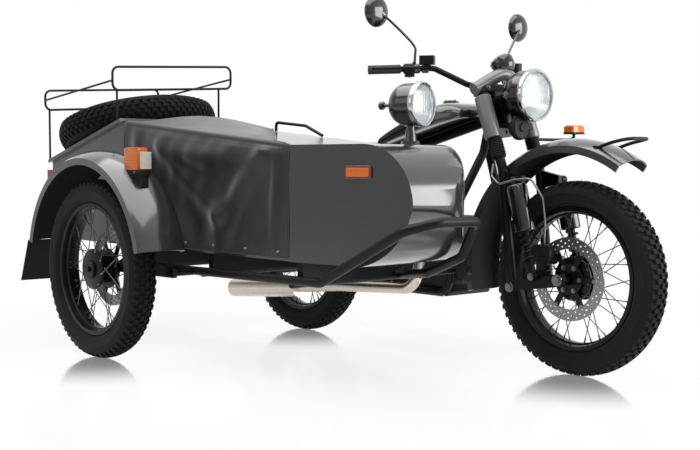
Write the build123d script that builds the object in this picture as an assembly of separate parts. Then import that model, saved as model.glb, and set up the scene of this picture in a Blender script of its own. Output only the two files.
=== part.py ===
"""Sidecar motorcycle: a flat-twin motorcycle with a leading-link fork and a one-seat sidecar.

Millimetres. +X forward, +Y to the rider's left, +Z up, floor at z = 0.
All places are measured from the floor point under the rear axle, on the motorcycle's middle
plane. save() then moves every piece so that the origin is the middle of the whole footprint.
"""
import os
from math import atan2, cos, degrees, radians, sin, tan

from build123d import *

os.makedirs("parts", exist_ok=True)

# ---- driving dimensions ------------------------------------------------------------------
FOOTPRINT_MID_X = 540.0          # middle of the overall length, ahead of the rear axle
FOOTPRINT_MID_Y = -366.0         # middle of the overall width
SEAT_GAP = 0.3                   # clearance where a curved face sits on another piece
RUNNING_GAP = 0.05               # radial clearance of a shaft in its bore

WHEELBASE = 1500.0
TRACK = 1100.0                   # motorcycle middle plane to sidecar wheel
SIDECAR_LEAD = 80.0              # sidecar axle ahead of the rear axle
TYRE_R = 345.0                   # 4.00-19 tyre
TYRE_W = 110.0
BEAD_R = 242.0                   # 19 inch rim
SIDEWALL = 0.466                 # height of the tyre's widest point, as a share of its section
RIM_W = 78.0
RIM_FLANGE = 12.0
RIM_WALL = 5.0
HUB_HALF = 50.0
HUB_R = 34.0
HUB_FLANGE_R = 78.0
HUB_FLANGE_Y = 30.0
HUB_FLANGE_T = 6.0
SPOKES_PER_ROW = 9               # four rows: two flanges, leading and trailing
SPOKE_T = 4.0
SPOKE_LEAN = 34.0                # degrees between a spoke's two ends
AXLE_R = 10.0
DISC_R = 147.0
DISC_T = 5.0

RAKE = 20.0                      # steering axis from the vertical
SEAT_RAIL_Z = 2 * TYRE_R + 55.0  # clears the rear fender
HEAD_X = WHEELBASE - 395.0
HEAD_Z = SEAT_RAIL_Z + 183.0
HEAD_HALF = 62.0
HEAD_R = 28.0
STEM_R = 16.0
YOKE_T = 22.0
YOKE_OFFSET = 58.0               # legs ahead of the steering axis
YOKE_END_R = 27.0
LEG_Y = 105.0
LEG_R = 18.0
SLEEVE_R = 23.0
LINK_PIVOT_X = WHEELBASE - 212.0
LINK_PIVOT_Z = TYRE_R - 40.0
LINK_T = 26.0

FRAME_R = 16.0
BACKBONE_R = 20.0
CRADLE_Y = 118.0
CRADLE_Z = TYRE_R - 88.0
CRADLE_FRONT_X = HEAD_X - 120.0
DOWN_TUBE_X = HEAD_X - 70.0      # bend of the down tubes
DOWN_TUBE_Z = TYRE_R + 255.0
UPRIGHT_X = TYRE_R + 55.0        # clears the rear tyre
SEAT_RAIL_REAR = -260.0
SWING_Y0 = 66.0
SWING_Y1 = 92.0

TANK_REAR = UPRIGHT_X + 130.0
TANK_FRONT = HEAD_X - 75.0
TANK_TOP = SEAT_RAIL_Z + 240.0
TANK_HALF_W = 145.0
TANK_RISE = 125.0                # climb of the tank's floor from the seat to the head
TANK_SLOPE = TANK_RISE / (TANK_FRONT - TANK_REAR)
TANK_REAR_Z = SEAT_RAIL_Z + 51.0
TANK_EDGE = 22.0

CYLINDER_X = CRADLE_FRONT_X - 147.0
CYLINDER_Z = TYRE_R + 95.0
CYLINDER_R = 56.0
FIN_R = 76.0
FIN_T = 4.0
FIN_PITCH = 13.0
FIN_COUNT = 8
CRANKCASE_HALF = 100.0

TUB_OUTER_Y = 195.0 - TRACK      # clears the sidecar wheel and its arm
TUB_INNER_Y = 150.0 - TRACK / 2  # clears the right cylinder
TUB_BOTTOM = TYRE_R + 75.0
TUB_REAR = -2 * TYRE_R           # the lid is as long as the spare wheel
TUB_WALL = 12.0
NOSE_FRONT = WHEELBASE - 2.0
NOSE_REAR = NOSE_FRONT - 498.0
NOSE_TOP = TUB_BOTTOM + 392.0
NOSE_OUTER_Y = TUB_OUTER_Y + 80.0
NOSE_INNER_Y = TUB_INNER_Y - 260.0  # where the nose's rounded inner corner starts
NOSE_CORNER = ((NOSE_FRONT - 68.0, TUB_INNER_Y - 120.0), (NOSE_FRONT - 208.0, TUB_INNER_Y - 25.0))  # middle, end
NOSE_BELLY_X = NOSE_FRONT - 298.0   # where the underside starts to rise
NOSE_BELLY_MID = (NOSE_FRONT - 74.0, TUB_BOTTOM + 66.0)
BOOT_FRONT = -98.0               # where the boot's box is joined to the cockpit
COVER_STEP = 12.0                # side below the tonneau lies this far inside the nose panel
COVER_T = 8.0
COVER_GAP = 0.5
COVER_HEM = TUB_BOTTOM + 50.0
COVER_DOME = 20.0                # rise of the cloth over its bows
COVER_FRONT_INNER_X = 260.0      # the cloth's front edge runs aslant to the nose panel
RIM_REAR_Z = TUB_BOTTOM + 498.0
BULKHEAD_X = -80.0               # front edge of the boot lid
LID_SLOPE = 15.0
LID_T = 14.0
LID_REAR = TUB_REAR - 10.0
SPARE_X = (TUB_REAR + BULKHEAD_X) / 2 - 15.0
SPARE_Y = TUB_INNER_Y - 215.0
SPARE_LIFT = 10.0

RAIL_R = 16.0
RAIL_Z = TYRE_R
RAIL_OUTER_Y = TUB_OUTER_Y + 5.0
RAIL_INNER_Y = TUB_INNER_Y + 15.0

REAR_GUARD_R = TYRE_R + 40.0
MUDGUARD_R = TYRE_R + 110.0
FRONT_GUARD_R = MUDGUARD_R + 8.0
FRONT_GUARD_HALF = 82.0
FRONT_GUARD_CROWN = 26.0
SIDECAR_GUARD_Y = 12.0 - TRACK
SIDECAR_GUARD_HALF = 100.0
SIDECAR_GUARD_END = 168.0        # degrees from straight ahead
MUDGUARD_T = 5.0
MUDGUARD_LIP = 26.0              # depth of the turned-down edge


# ---- helpers -----------------------------------------------------------------------------
def block(x0, x1, y0, y1, z0, z1):
    """Box between two corners."""
    return Pos((x0 + x1) / 2, (y0 + y1) / 2, (z0 + z1) / 2) * Box(abs(x1 - x0), abs(y1 - y0), abs(z1 - z0))


def rod(start, end, radius):
    """Straight round bar from one point to another."""
    a, b = Vector(start), Vector(end)
    plane = Plane(origin=a, z_dir=(b - a).normalized())
    return extrude(plane * Circle(radius), amount=(b - a).length)


def tube(points, radius, bend):
    """Round bar along straight runs joined by arcs of radius bend."""
    path = FilletPolyline(*points, radius=bend)
    plane = Plane(origin=path @ 0, z_dir=path % 0)
    return sweep(plane * Circle(radius), path=path)


def across(x, z, y0, y1, radius):
    """Round bar that lies across the vehicle."""
    return rod((x, min(y0, y1), z), (x, max(y0, y1), z), radius)


def side_plate(points, y0, y1):
    """Flat outline in the X-Z plane, as thick as from y0 to y1."""
    outline = Plane.XZ * make_face(Polyline(*points, close=True))
    return Pos(0, max(y0, y1), 0) * extrude(outline, amount=abs(y1 - y0))


def ring(r_in, r_out, y0, y1):
    """Flat ring round the Y axis."""
    return across(0, 0, y0, y1, r_out) - across(0, 0, min(y0, y1) - 1, max(y0, y1) + 1, r_in)


def both(make):
    """The right-hand piece from make(-1) and the left-hand one from make(1)."""
    return make(-1) + make(1)


def save(node, shape):
    """Write one node with the origin at the middle of the footprint."""
    export_step(Pos(-FOOTPRINT_MID_X, -FOOTPRINT_MID_Y, 0) * shape, f"parts/{node}.step")


def mudguard(centre_x, centre_z, y_mid, half_w, radius, start, end, crown):
    """Rolled sheet strip round an axle, with turned-down edges. Angles rise from straight ahead."""
    t = MUDGUARD_T
    edge = radius - crown - MUDGUARD_LIP
    shoulder = radius - crown
    inner_w = half_w - t
    inner_shoulder = shoulder - t / 2
    profile = make_face(
        Line((edge, -half_w), (shoulder, -half_w))
        + ThreePointArc((shoulder, -half_w), (radius, 0), (shoulder, half_w))
        + Polyline((shoulder, half_w), (edge, half_w), (edge, inner_w), (inner_shoulder, inner_w))
        + ThreePointArc((inner_shoulder, inner_w), (radius - t, 0), (inner_shoulder, -inner_w))
        + Polyline((inner_shoulder, -inner_w), (edge, -inner_w), (edge, -half_w)))
    swept = revolve(Plane.XY * profile, axis=Axis.Y, revolution_arc=end - start)
    return Pos(centre_x, y_mid, centre_z) * Rot(0, -end, 0) * swept


# ---- wheels ------------------------------------------------------------------------------
def tyre():
    """Tyre round the Y axis, seated on the bead seat between the rim's flanges."""
    half_rim = RIM_W / 2 - RIM_WALL
    half = TYRE_W / 2
    shoulder = TYRE_R - 22.0
    wall_r = BEAD_R + SIDEWALL * (TYRE_R - BEAD_R)
    profile = make_face(
        Polyline((BEAD_R, -half_rim), (BEAD_R, half_rim), (BEAD_R + RIM_FLANGE, half_rim))
        + ThreePointArc((BEAD_R + RIM_FLANGE, half_rim), (wall_r, half), (shoulder, half - 8))
        + ThreePointArc((shoulder, half - 8), (TYRE_R, 0), (shoulder, 8 - half))
        + ThreePointArc((shoulder, 8 - half), (wall_r, -half), (BEAD_R + RIM_FLANGE, -half_rim))
        + Line((BEAD_R + RIM_FLANGE, -half_rim), (BEAD_R, -half_rim))
    )
    return revolve(profile, axis=Axis.Y)


def rim():
    """Spoked wheel round the Y axis: channel rim, hub with two flanges and laced spokes."""
    half = RIM_W / 2
    lip = BEAD_R + RIM_FLANGE
    channel = [(lip, -half), (lip, RIM_WALL - half), (BEAD_R, RIM_WALL - half), (BEAD_R, half - RIM_WALL),
               (lip, half - RIM_WALL), (lip, half), (BEAD_R - RIM_WALL, half), (BEAD_R - 14, half / 2),
               (BEAD_R - 14, -half / 2), (BEAD_R - RIM_WALL, -half)]
    wheel = [revolve(make_face(Polyline(*channel, close=True)), axis=Axis.Y)]
    wheel.append(across(0, 0, -HUB_HALF, HUB_HALF, HUB_R))
    for side in (-1, 1):
        inside = side * (HUB_FLANGE_Y - HUB_FLANGE_T)
        wheel.append(across(0, 0, inside, side * (HUB_FLANGE_Y + HUB_FLANGE_T), HUB_FLANGE_R))
        for lean in (-1, 1):
            hub_y = side * HUB_FLANGE_Y + lean * 4.0
            for k in range(SPOKES_PER_ROW):
                a = (k + 0.25 * side + 0.5 * (lean > 0)) * 360 / SPOKES_PER_ROW
                b = radians(a + lean * SPOKE_LEAN)
                a = radians(a)
                hub_end = Vector((HUB_FLANGE_R - 6) * cos(a), hub_y, (HUB_FLANGE_R - 6) * sin(a))
                rim_end = Vector((BEAD_R - 8) * cos(b), side * 8.0, (BEAD_R - 8) * sin(b))
                plane = Plane(origin=hub_end, x_dir=(0, 1, 0), z_dir=(rim_end - hub_end).normalized())
                spoke = extrude(plane * Rectangle(SPOKE_T, SPOKE_T), amount=(rim_end - hub_end).length)
                wheel.append(spoke)
    fused = wheel[0].fuse(*wheel[1:])
    return fused - across(0, 0, -HUB_HALF - 1, HUB_HALF + 1, AXLE_R + RUNNING_GAP)


def disc(side):
    """Brake disc on the hub's end face, with its carrier."""
    y0 = side * HUB_HALF
    y1 = side * (HUB_HALF + DISC_T)
    plate = ring(AXLE_R + 8.0, DISC_R, y0, y1)
    for k in range(6):
        window = across(76.0, 0, side * (HUB_HALF - 1), side * (HUB_HALF + DISC_T + 1), 22.0)
        plate -= Rot(0, 60 * k, 0) * window
    return plate


WHEELS = {
    # name: (axle x, middle y, disc side)
    "front": (WHEELBASE, 0.0, -1),
    "rear": (0.0, 0.0, 1),
    "sidecar": (SIDECAR_LEAD, -TRACK, 1),
}
TYRE = tyre()
RIM = rim()
for name, (axle_x, wheel_y, disc_side) in WHEELS.items():
    place = Pos(axle_x, wheel_y, TYRE_R)
    save(f"{name}_tyre", place * TYRE)
    save(f"{name}_rim", place * RIM)
    save(f"{name}_brake_disc", place * disc(disc_side))


# ---- motorcycle frame, engine and drive --------------------------------------------------
HEAD = Plane(origin=(HEAD_X, 0, HEAD_Z), x_dir=(cos(radians(RAKE)), 0, sin(radians(RAKE))),
             z_dir=(-sin(radians(RAKE)), 0, cos(radians(RAKE))))


def on_head(x, y, z):
    """Point given ahead of, beside and up along the steering axis, as a place in the model."""
    p = HEAD.from_local_coords(Vector(x, y, z))
    return (p.X, p.Y, p.Z)


def tank_floor(x):
    """Height of the tank's underside, which slopes up to the steering head."""
    return TANK_REAR_Z + TANK_SLOPE * (x - TANK_REAR)


BACKBONE_DROP = BACKBONE_R / cos(atan2(TANK_SLOPE, 1)) + SEAT_GAP


def backbone_z(x):
    return tank_floor(x) - BACKBONE_DROP


PEG_X = 495.0
PEG_Z = CRADLE_Z + 33.0
SHOCK_Y = CRADLE_Y + FRAME_R + 13.0
SHOCK_PIN_R = 7.0
REAR_SHOCK = ((25.0, TYRE_R + 60.0), (75.0, SEAT_RAIL_Z))


def cradle_tube(side, radius):
    """One side of the frame: down tube, lower rail, upright and seat rail in one bent tube."""
    y = side * CRADLE_Y
    return tube([(HEAD_X - 15, side * 12, HEAD_Z - 33), (HEAD_X - 37, side * 16, HEAD_Z - 138),
                 (DOWN_TUBE_X, y, DOWN_TUBE_Z), (CRADLE_FRONT_X, y, CRADLE_Z), (UPRIGHT_X, y, CRADLE_Z),
                 (UPRIGHT_X, y, SEAT_RAIL_Z), (SEAT_RAIL_REAR, y, SEAT_RAIL_Z)], radius, 50)


def frame_side(side):
    y = side * CRADLE_Y
    top_pin = across(*REAR_SHOCK[1], y, side * (SHOCK_Y + 14), SHOCK_PIN_R)
    peg_bracket = block(PEG_X - 15, PEG_X + 15, y - 8, y + 8, CRADLE_Z, PEG_Z + 15)
    return cradle_tube(side, FRAME_R) + top_pin + peg_bracket


def motorcycle_frame():
    head = extrude(HEAD.offset(-HEAD_HALF) * Circle(HEAD_R), amount=2 * HEAD_HALF)
    backbone = tube([(HEAD_X - 10, 0, backbone_z(HEAD_X - 10)), (TANK_REAR - 60, 0, backbone_z(TANK_REAR - 60)),
                     (UPRIGHT_X, 0, SEAT_RAIL_Z)], BACKBONE_R, 60)
    frame = frame_side(-1) + frame_side(1) + head + backbone
    for x, z, radius in ((UPRIGHT_X, SEAT_RAIL_Z, 14), (UPRIGHT_X, TYRE_R, 18), (UPRIGHT_X, CRADLE_Z, 14),
                         (SEAT_RAIL_REAR + 10, SEAT_RAIL_Z, 12), (CRADLE_FRONT_X - 10, CRADLE_Z, 14)):
        frame += across(x, z, -CRADLE_Y, CRADLE_Y, radius)
    bore = extrude(HEAD.offset(-HEAD_HALF - 40) * Circle(STEM_R + RUNNING_GAP), amount=2 * HEAD_HALF + 80)
    return frame - bore


def engine_block():
    rear, front = CYLINDER_X - 173, CYLINDER_X + 117
    crankcase = block(rear, front, -CRANKCASE_HALF, CRANKCASE_HALF, TYRE_R - 103, TYRE_R + 200)
    crankcase = fillet(crankcase.edges().filter_by(Axis.Y), 42)
    gearbox = block(UPRIGHT_X + 32, rear, -92, 92, TYRE_R - 75, TYRE_R + 155)
    gearbox = fillet(gearbox.edges().filter_by(Axis.Y), 30)
    lugs_half = CRADLE_Y - FRAME_R - SEAT_GAP
    lugs = block(rear + 35, rear + 95, -lugs_half, lugs_half, CRADLE_Z - 10, CRADLE_Z + 10)
    engine = crankcase + gearbox + lugs + rod((front, 0, TYRE_R + 40), (front + 22, 0, TYRE_R + 40), 88)
    for side in (-1, 1):
        y = side * 48.0
        engine += block(rear + 50, front - 60, y - 3, y + 3, TYRE_R - 115, TYRE_R - 103)
    return engine


def cylinder_side(side):
    y0 = side * CRANKCASE_HALF
    y_fin = side * (CRANKCASE_HALF + 14)
    y_head = y_fin + side * FIN_PITCH * FIN_COUNT
    x, z = CYLINDER_X, CYLINDER_Z
    barrel = across(x, z, y0, y_head, CYLINDER_R)
    for k in range(FIN_COUNT):
        y = y_fin + side * k * FIN_PITCH
        barrel += across(x, z, y, y + side * FIN_T, FIN_R)
    head = block(x - 74, x + 74, y_head, y_head + side * 62, z - 66, z + 66)
    head = fillet(head.edges().filter_by(Axis.Y), 26)
    cover = block(x - 60, x + 60, y_head + side * 62, y_head + side * 92, z - 52, z + 52)
    cover = fillet(cover.edges().filter_by(Axis.Y), 30)
    inlet = rod((x - 60, y_head + side * 30, z + 20), (x - 170, y_head + side * 30, z + 55), 24)
    return barrel + head + cover + inlet


HEAD_MID_Y = CRANKCASE_HALF + 14 + FIN_PITCH * FIN_COUNT + 31
PIPE_R = 22.0
MUFFLER_R = 40.0
PIPE_Y = 285.0


def exhaust_side(side):
    y = side * PIPE_Y
    start = (CYLINDER_X + 74 + SEAT_GAP, side * HEAD_MID_Y, CYLINDER_Z)
    header = tube([start, (CYLINDER_X + 140, side * HEAD_MID_Y, CYLINDER_Z), (CYLINDER_X + 135, y, TYRE_R - 60),
                   (560, y, TYRE_R - 83), (260, y, TYRE_R - 113)], PIPE_R, 60)
    muffler = rod((300, y, TYRE_R - 111), (-150, y, TYRE_R - 149), MUFFLER_R)
    return header + muffler


save("motorcycle_frame", motorcycle_frame())
save("engine_block", engine_block())
save("cylinders", both(cylinder_side))
save("exhaust_system", both(exhaust_side))


def fuel_tank():
    side = [(TANK_REAR, tank_floor(TANK_REAR)), (TANK_FRONT - 6, tank_floor(TANK_FRONT - 6)),
            (TANK_FRONT, TANK_TOP - 30), (TANK_FRONT - 60, TANK_TOP), (TANK_FRONT - 200, TANK_TOP),
            (TANK_REAR + 130, TANK_TOP - 50), (TANK_REAR, TANK_REAR_Z + 40)]
    body = side_plate(side, -TANK_HALF_W, TANK_HALF_W)
    plan = [(TANK_REAR, -80), (TANK_REAR + 170, -TANK_HALF_W), (TANK_FRONT - 140, -TANK_HALF_W),
            (TANK_FRONT, -95), (TANK_FRONT, 95), (TANK_FRONT - 140, TANK_HALF_W),
            (TANK_REAR + 170, TANK_HALF_W), (TANK_REAR, 80)]
    body &= extrude(make_face(Polyline(*plan, close=True)), amount=1400)
    return fillet(body.edges().group_by(Axis.Z)[-1], TANK_EDGE)


def saddles():
    """Rider's and passenger's pads on the seat rails, the front one with a tunnel for the backbone."""
    front = block(140, 505, -135, 135, SEAT_RAIL_Z + FRAME_R + SEAT_GAP, SEAT_RAIL_Z + 85)
    rear = block(-290, 120, -130, 130, SEAT_RAIL_Z + FRAME_R + SEAT_GAP, SEAT_RAIL_Z + 103)
    pads = None
    for pad in (front, rear):
        pad = fillet(pad.edges().filter_by(Axis.Z), 50)
        pad = fillet(pad.edges().group_by(Axis.Z)[-1], 18)
        pads = pad if pads is None else pads + pad
    return pads - block(UPRIGHT_X - 30, 510, -32, 32, 0, backbone_z(505) + BACKBONE_R + 2)


def rear_fender():
    guard = mudguard(0, TYRE_R, 0, 78, REAR_GUARD_R, 62, 192, 24)
    for x in (-200.0, 120.0):
        for side in (-1, 1):
            guard += block(x - 12, x + 12, side * 70, side * (CRADLE_Y - FRAME_R - SEAT_GAP),
                           TYRE_R + (REAR_GUARD_R ** 2 - x ** 2) ** 0.5 - 34, SEAT_RAIL_Z + 6)
    return guard


save("fuel_tank", fuel_tank())
CAP_X = TANK_FRONT - 145.0
save("tank_cap", rod((CAP_X, 0, TANK_TOP), (CAP_X, 0, TANK_TOP + 16), 30))
save("saddles", saddles())
save("rear_fender", rear_fender())


def swing_arm():
    arm = across(0, TYRE_R, -SWING_Y1 - 8, SWING_Y1 + 8, AXLE_R)
    for side in (-1, 1):
        leg = block(-28, UPRIGHT_X - 18 - SEAT_GAP, side * SWING_Y0, side * SWING_Y1, TYRE_R - 20, TYRE_R + 20)
        lug = side_plate([(-5, TYRE_R), (60, TYRE_R), (40, TYRE_R + 75), (10, TYRE_R + 75)], side * SWING_Y0, side * SWING_Y1)
        pin = across(*REAR_SHOCK[0], side * SWING_Y0, side * (SHOCK_Y + 14), SHOCK_PIN_R)
        arm += leg + lug + pin
    arm += across(0, TYRE_R, -SWING_Y0, -SWING_Y1 - 34, 82)
    arm += rod((60, -SWING_Y1 - 14, TYRE_R), (UPRIGHT_X - 40, -SWING_Y1 - 2, TYRE_R), 18)
    return arm


def shock(bottom, top, y, spring_r):
    """Coil-over damper between two pins that lie across the vehicle."""
    lower = Vector(bottom[0], y, bottom[1])
    upper = Vector(top[0], y, top[1])
    along = (upper - lower).normalized()
    unit = rod(lower + along * 12, upper - along * 12, 11)
    unit += rod(lower + along * 55, upper - along * 40, spring_r)
    for end in (bottom, top):
        unit += across(end[0], end[1], y - 12, y + 12, 15)
    for end in (bottom, top):
        unit -= across(end[0], end[1], y - 20, y + 20, SHOCK_PIN_R + RUNNING_GAP)
    return unit


SIDECAR_SHOCK = ((150.0, TYRE_R + 40.0), (52.0, TYRE_R + 305.0))
SIDECAR_SHOCK_Y = 136.0 - TRACK
SIDECAR_ARM_Y = (96.0 - TRACK, 114.0 - TRACK)
UPRIGHT_Y = 177.0 - TRACK


save("swing_arm", swing_arm())
save("shock_absorbers", shock(*REAR_SHOCK, -SHOCK_Y, 26) + shock(*REAR_SHOCK, SHOCK_Y, 26)
     + shock(*SIDECAR_SHOCK, SIDECAR_SHOCK_Y, 20))


def footrest(side):
    y0 = side * (CRADLE_Y + 8)
    return across(PEG_X, PEG_Z, y0, y0 + side * 105, 13)


save("footrests", both(footrest))


# ---- steering body -----------------------------------------------------------------------
FRONT_SHOCK = ((WHEELBASE - 95.0, TYRE_R + 7.0), (WHEELBASE - 178.0, HEAD_Z - 238.0))
FRONT_SHOCK_Y = 132.0


def fork_side(side):
    y = side * LEG_Y
    sleeve = rod(on_head(YOKE_OFFSET, y, -HEAD_HALF - 100), on_head(YOKE_OFFSET, y, HEAD_HALF), SLEEVE_R)
    top = on_head(YOKE_OFFSET, y, HEAD_HALF + 26)
    knee = on_head(YOKE_OFFSET, y, -HEAD_HALF - 170)
    leg = tube([top, knee, (LINK_PIVOT_X, y, LINK_PIVOT_Z)], LEG_R, 80)
    link = side_plate([(LINK_PIVOT_X - 25, LINK_PIVOT_Z - 19), (WHEELBASE + 10, TYRE_R - 22),
                       (WHEELBASE + 25, TYRE_R), (WHEELBASE + 10, TYRE_R + 22),
                       (LINK_PIVOT_X - 25, LINK_PIVOT_Z + 19)], y - side * LINK_T / 2, y + side * LINK_T / 2)
    lug_low = side_plate([(WHEELBASE - 120, TYRE_R - 25), (WHEELBASE - 70, TYRE_R - 15),
                          (WHEELBASE - 80, TYRE_R + 23), (WHEELBASE - 108, TYRE_R + 23)],
                         y - side * LINK_T / 2, y + side * LINK_T / 2)
    pin_z = FRONT_SHOCK[1][1]
    lug_high = side_plate([(WHEELBASE - 255, pin_z - 35), (WHEELBASE - 165, pin_z - 15), (WHEELBASE - 165, pin_z + 15),
                           (WHEELBASE - 255, pin_z + 35)], y - side * 10, y + side * 10)
    pins = across(*FRONT_SHOCK[0], y, side * (FRONT_SHOCK_Y + 14), SHOCK_PIN_R)
    pins += across(*FRONT_SHOCK[1], y, side * (FRONT_SHOCK_Y + 14), SHOCK_PIN_R)
    return sleeve + leg + link + lug_low + lug_high + pins


def fork():
    stem = rod(on_head(0, 0, -HEAD_HALF - YOKE_T), on_head(0, 0, HEAD_HALF + YOKE_T), STEM_R)
    yokes = None
    outline = Circle(24).edges() + (Pos(YOKE_OFFSET, LEG_Y) * Circle(YOKE_END_R)).edges()
    outline += (Pos(YOKE_OFFSET, -LEG_Y) * Circle(YOKE_END_R)).edges()
    for z in (-HEAD_HALF - YOKE_T - SEAT_GAP, HEAD_HALF + SEAT_GAP):
        plate = extrude(HEAD.offset(z) * make_hull(outline), amount=YOKE_T)
        yokes = plate if yokes is None else yokes + plate
    axle = across(WHEELBASE, TYRE_R, -LEG_Y - 14, LEG_Y + 14, AXLE_R)
    return both(fork_side) + stem + yokes + axle


save("fork", fork())
save("front_shocks", both(lambda side: shock(*FRONT_SHOCK, side * FRONT_SHOCK_Y, 24)))

BAR_R = 11.0
GRIP_R = 16.5
BAR_X = HEAD_X - 35.0
BAR_Z = HEAD_Z + 112.0
BAR_POINTS = [(HEAD_X - 265, 400, HEAD_Z + 167), (HEAD_X - 123, 200, HEAD_Z + 175), (HEAD_X - 83, 165, HEAD_Z + 149),
              (BAR_X, 105, BAR_Z)]
BAR_BORE_R = 8.0                 # the bar is open at its tips, for end weights
BAR_BORE_DEPTH = 40.0
MIRROR = (HEAD_X - 215.0, 400.0, HEAD_Z + 377.0)
MIRROR_R = 57.0


def bar_side(side):
    return [(x, side * y, z) for x, y, z in BAR_POINTS]


def along_grip(side, distance):
    """Point on the straight end of the bar, measured inward from its tip."""
    tip, bend = Vector(*bar_side(side)[0]), Vector(*bar_side(side)[1])
    return tip + (bend - tip).normalized() * distance


def handlebar():
    path = bar_side(-1) + list(reversed(bar_side(1)))
    bar = tube(path, BAR_R, 38)
    for side in (-1, 1):
        bar -= rod(along_grip(side, -1), along_grip(side, BAR_BORE_DEPTH), BAR_BORE_R)
    for y in (-45.0, 45.0):
        foot = HEAD.offset(HEAD_HALF + SEAT_GAP + YOKE_T) * Pos(-5, y) * RectangleRounded(38, 28, 6)
        bar += extrude(foot, amount=44)
    return bar


def grip(side):
    start, end = along_grip(side, 0), along_grip(side, 120)
    piece = rod(start, end, GRIP_R) - rod(start - (end - start), end + (end - start), BAR_R)
    return piece


def mirror(side):
    start, end = along_grip(side, 150), along_grip(side, 195)
    clamp = rod(start, end, 17) - rod(start - (end - start), end + (end - start), BAR_R)
    foot = (start + end) / 2 + Vector(0, 0, 14)
    head = Vector(*MIRROR)
    knee = foot + Vector(4, 0, 60)
    glass_back = Vector(head.X, side * head.Y, head.Z)
    stem = tube([foot, knee, glass_back - Vector(0, side * 40, 6)], 5, 22)
    return clamp + stem + Pos(*glass_back) * Rot(0, 90, 0) * Cylinder(MIRROR_R, 22)


save("handlebar", handlebar())
save("grips", both(grip))
save("mirrors", both(mirror))

LAMP_X = HEAD_X + 197.0
LAMP_Z = HEAD_Z + 69.0
LAMP_R = 94.0


def lamp_shell(x, y, z, radius, depth):
    """Round bucket with a domed back, its axis straight ahead, open for the lens."""
    dome = Sphere(radius) & Pos(-radius, 0, 0) * Box(2 * radius, 2 * radius, 2 * radius)
    shell = Pos(radius - depth, 0, 0) * dome + rod((radius - depth, 0, 0), (0, 0, 0), radius)
    shell -= rod((-30, 0, 0), (1, 0, 0), radius - 5)
    return Pos(x, y, z) * shell


def lamp_lens(x, y, z, radius, dome):
    """Slightly domed glass inside the bucket's rim."""
    r = radius - 5 - SEAT_GAP
    ball = (r * r + dome * dome) / (2 * dome)
    glass = rod((-24, 0, 0), (dome, 0, 0), r) & Pos(dome - ball, 0, 0) * Sphere(ball)
    return Pos(x, y, z) * glass


def headlamp_shell():
    shell = lamp_shell(LAMP_X, 0, LAMP_Z, LAMP_R, 128)
    for side in (-1, 1):
        ear = block(HEAD_X + 45, HEAD_X + 120, side * 62, side * (LEG_Y - SLEEVE_R - SEAT_GAP), LAMP_Z - 42, LAMP_Z - 2)
        shell += ear
    return shell


save("headlamp_shell", headlamp_shell())
save("headlamp_lens", lamp_lens(LAMP_X, 0, LAMP_Z, LAMP_R, 12))

GUARD_X = WHEELBASE - 20.0
GUARD_Z = TYRE_R + 30.0
GUARD_TIP = 57.0                 # degrees from straight ahead


def front_fender():
    guard = mudguard(GUARD_X, GUARD_Z, 0, FRONT_GUARD_HALF, FRONT_GUARD_R, GUARD_TIP, 194, FRONT_GUARD_CROWN)
    knee_x, _, knee_z = on_head(YOKE_OFFSET, 0, -HEAD_HALF - 170)
    reach = atan2(knee_z - GUARD_Z, knee_x - GUARD_X)
    low_x = GUARD_X + (FRONT_GUARD_R - 40) * cos(reach)
    low_z = GUARD_Z + (FRONT_GUARD_R - 40) * sin(reach)
    wide_x, wide_z = 14 * sin(reach), -14 * cos(reach)
    for side in (-1, 1):
        guard += side_plate([(knee_x - wide_x, knee_z - wide_z), (knee_x + wide_x, knee_z + wide_z),
                             (low_x + wide_x, low_z + wide_z), (low_x - wide_x, low_z - wide_z)],
                            side * (FRONT_GUARD_HALF - 4.5), side * (LEG_Y - LEG_R - SEAT_GAP))
    return guard


def guard_top(angle, y):
    """Place on the front fender's crown, at an angle and a distance from its middle."""
    arc = (FRONT_GUARD_HALF ** 2 + FRONT_GUARD_CROWN ** 2) / (2 * FRONT_GUARD_CROWN)
    r = FRONT_GUARD_R - arc + (arc * arc - y * y) ** 0.5
    return Vector(GUARD_X + r * cos(radians(angle)), y, GUARD_Z + r * sin(radians(angle)))


LOOP_R = 6.0
LOOP_Y = 58.0


def fender_stays():
    """Upright hoop of bar across the front fender's tip."""
    angle = GUARD_TIP + 4
    up = Vector(cos(radians(angle)), 0, sin(radians(angle)))
    half = []
    for forward, y, rise in ((0, LOOP_Y, 2.5), (2, LOOP_Y + 4, 30), (20, LOOP_Y - 2, 54)):
        p = guard_top(angle, LOOP_Y) + up * rise + Vector(forward, 0, 0)
        half.append((p.X, y, p.Z))
    return tube(half + [(x, -y, z) for x, y, z in reversed(half)], LOOP_R, 9)


save("front_fender", front_fender())


def front_caliper():
    """Caliper that bridges the disc's edge, on a bracket against the inside of the right link."""
    body = block(WHEELBASE - 138, WHEELBASE - 60, -86, -38, TYRE_R + 47, TYRE_R + 117)
    body = fillet(body.edges().filter_by(Axis.Y), 14)
    slot = across(WHEELBASE, TYRE_R, 1.5 - HUB_HALF, -HUB_HALF - DISC_T - 1.5, DISC_R + 3)
    bracket = block(WHEELBASE - 115, WHEELBASE - 75, -80, SEAT_GAP + LINK_T / 2 - LEG_Y, TYRE_R - 15, TYRE_R + 75)
    return body - slot + bracket


save("front_caliper", front_caliper())


INDICATOR = (HEAD_X + 92.0, 366.0, HEAD_Z - 48.0)


def left_indicator():
    """Flat amber lamp on a stalk from the left fork sleeve; the right one sits on the sidecar."""
    x, y, z = INDICATOR
    lamp = Pos(x, y, z) * Box(52, 82, 34)
    lamp = fillet(lamp.edges().filter_by(Axis.X), 10)
    return lamp + rod((x, LEG_Y + YOKE_END_R + SEAT_GAP, z - 8), (x, y - 36, z - 8), 6)


save("left_indicator", left_indicator())


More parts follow.
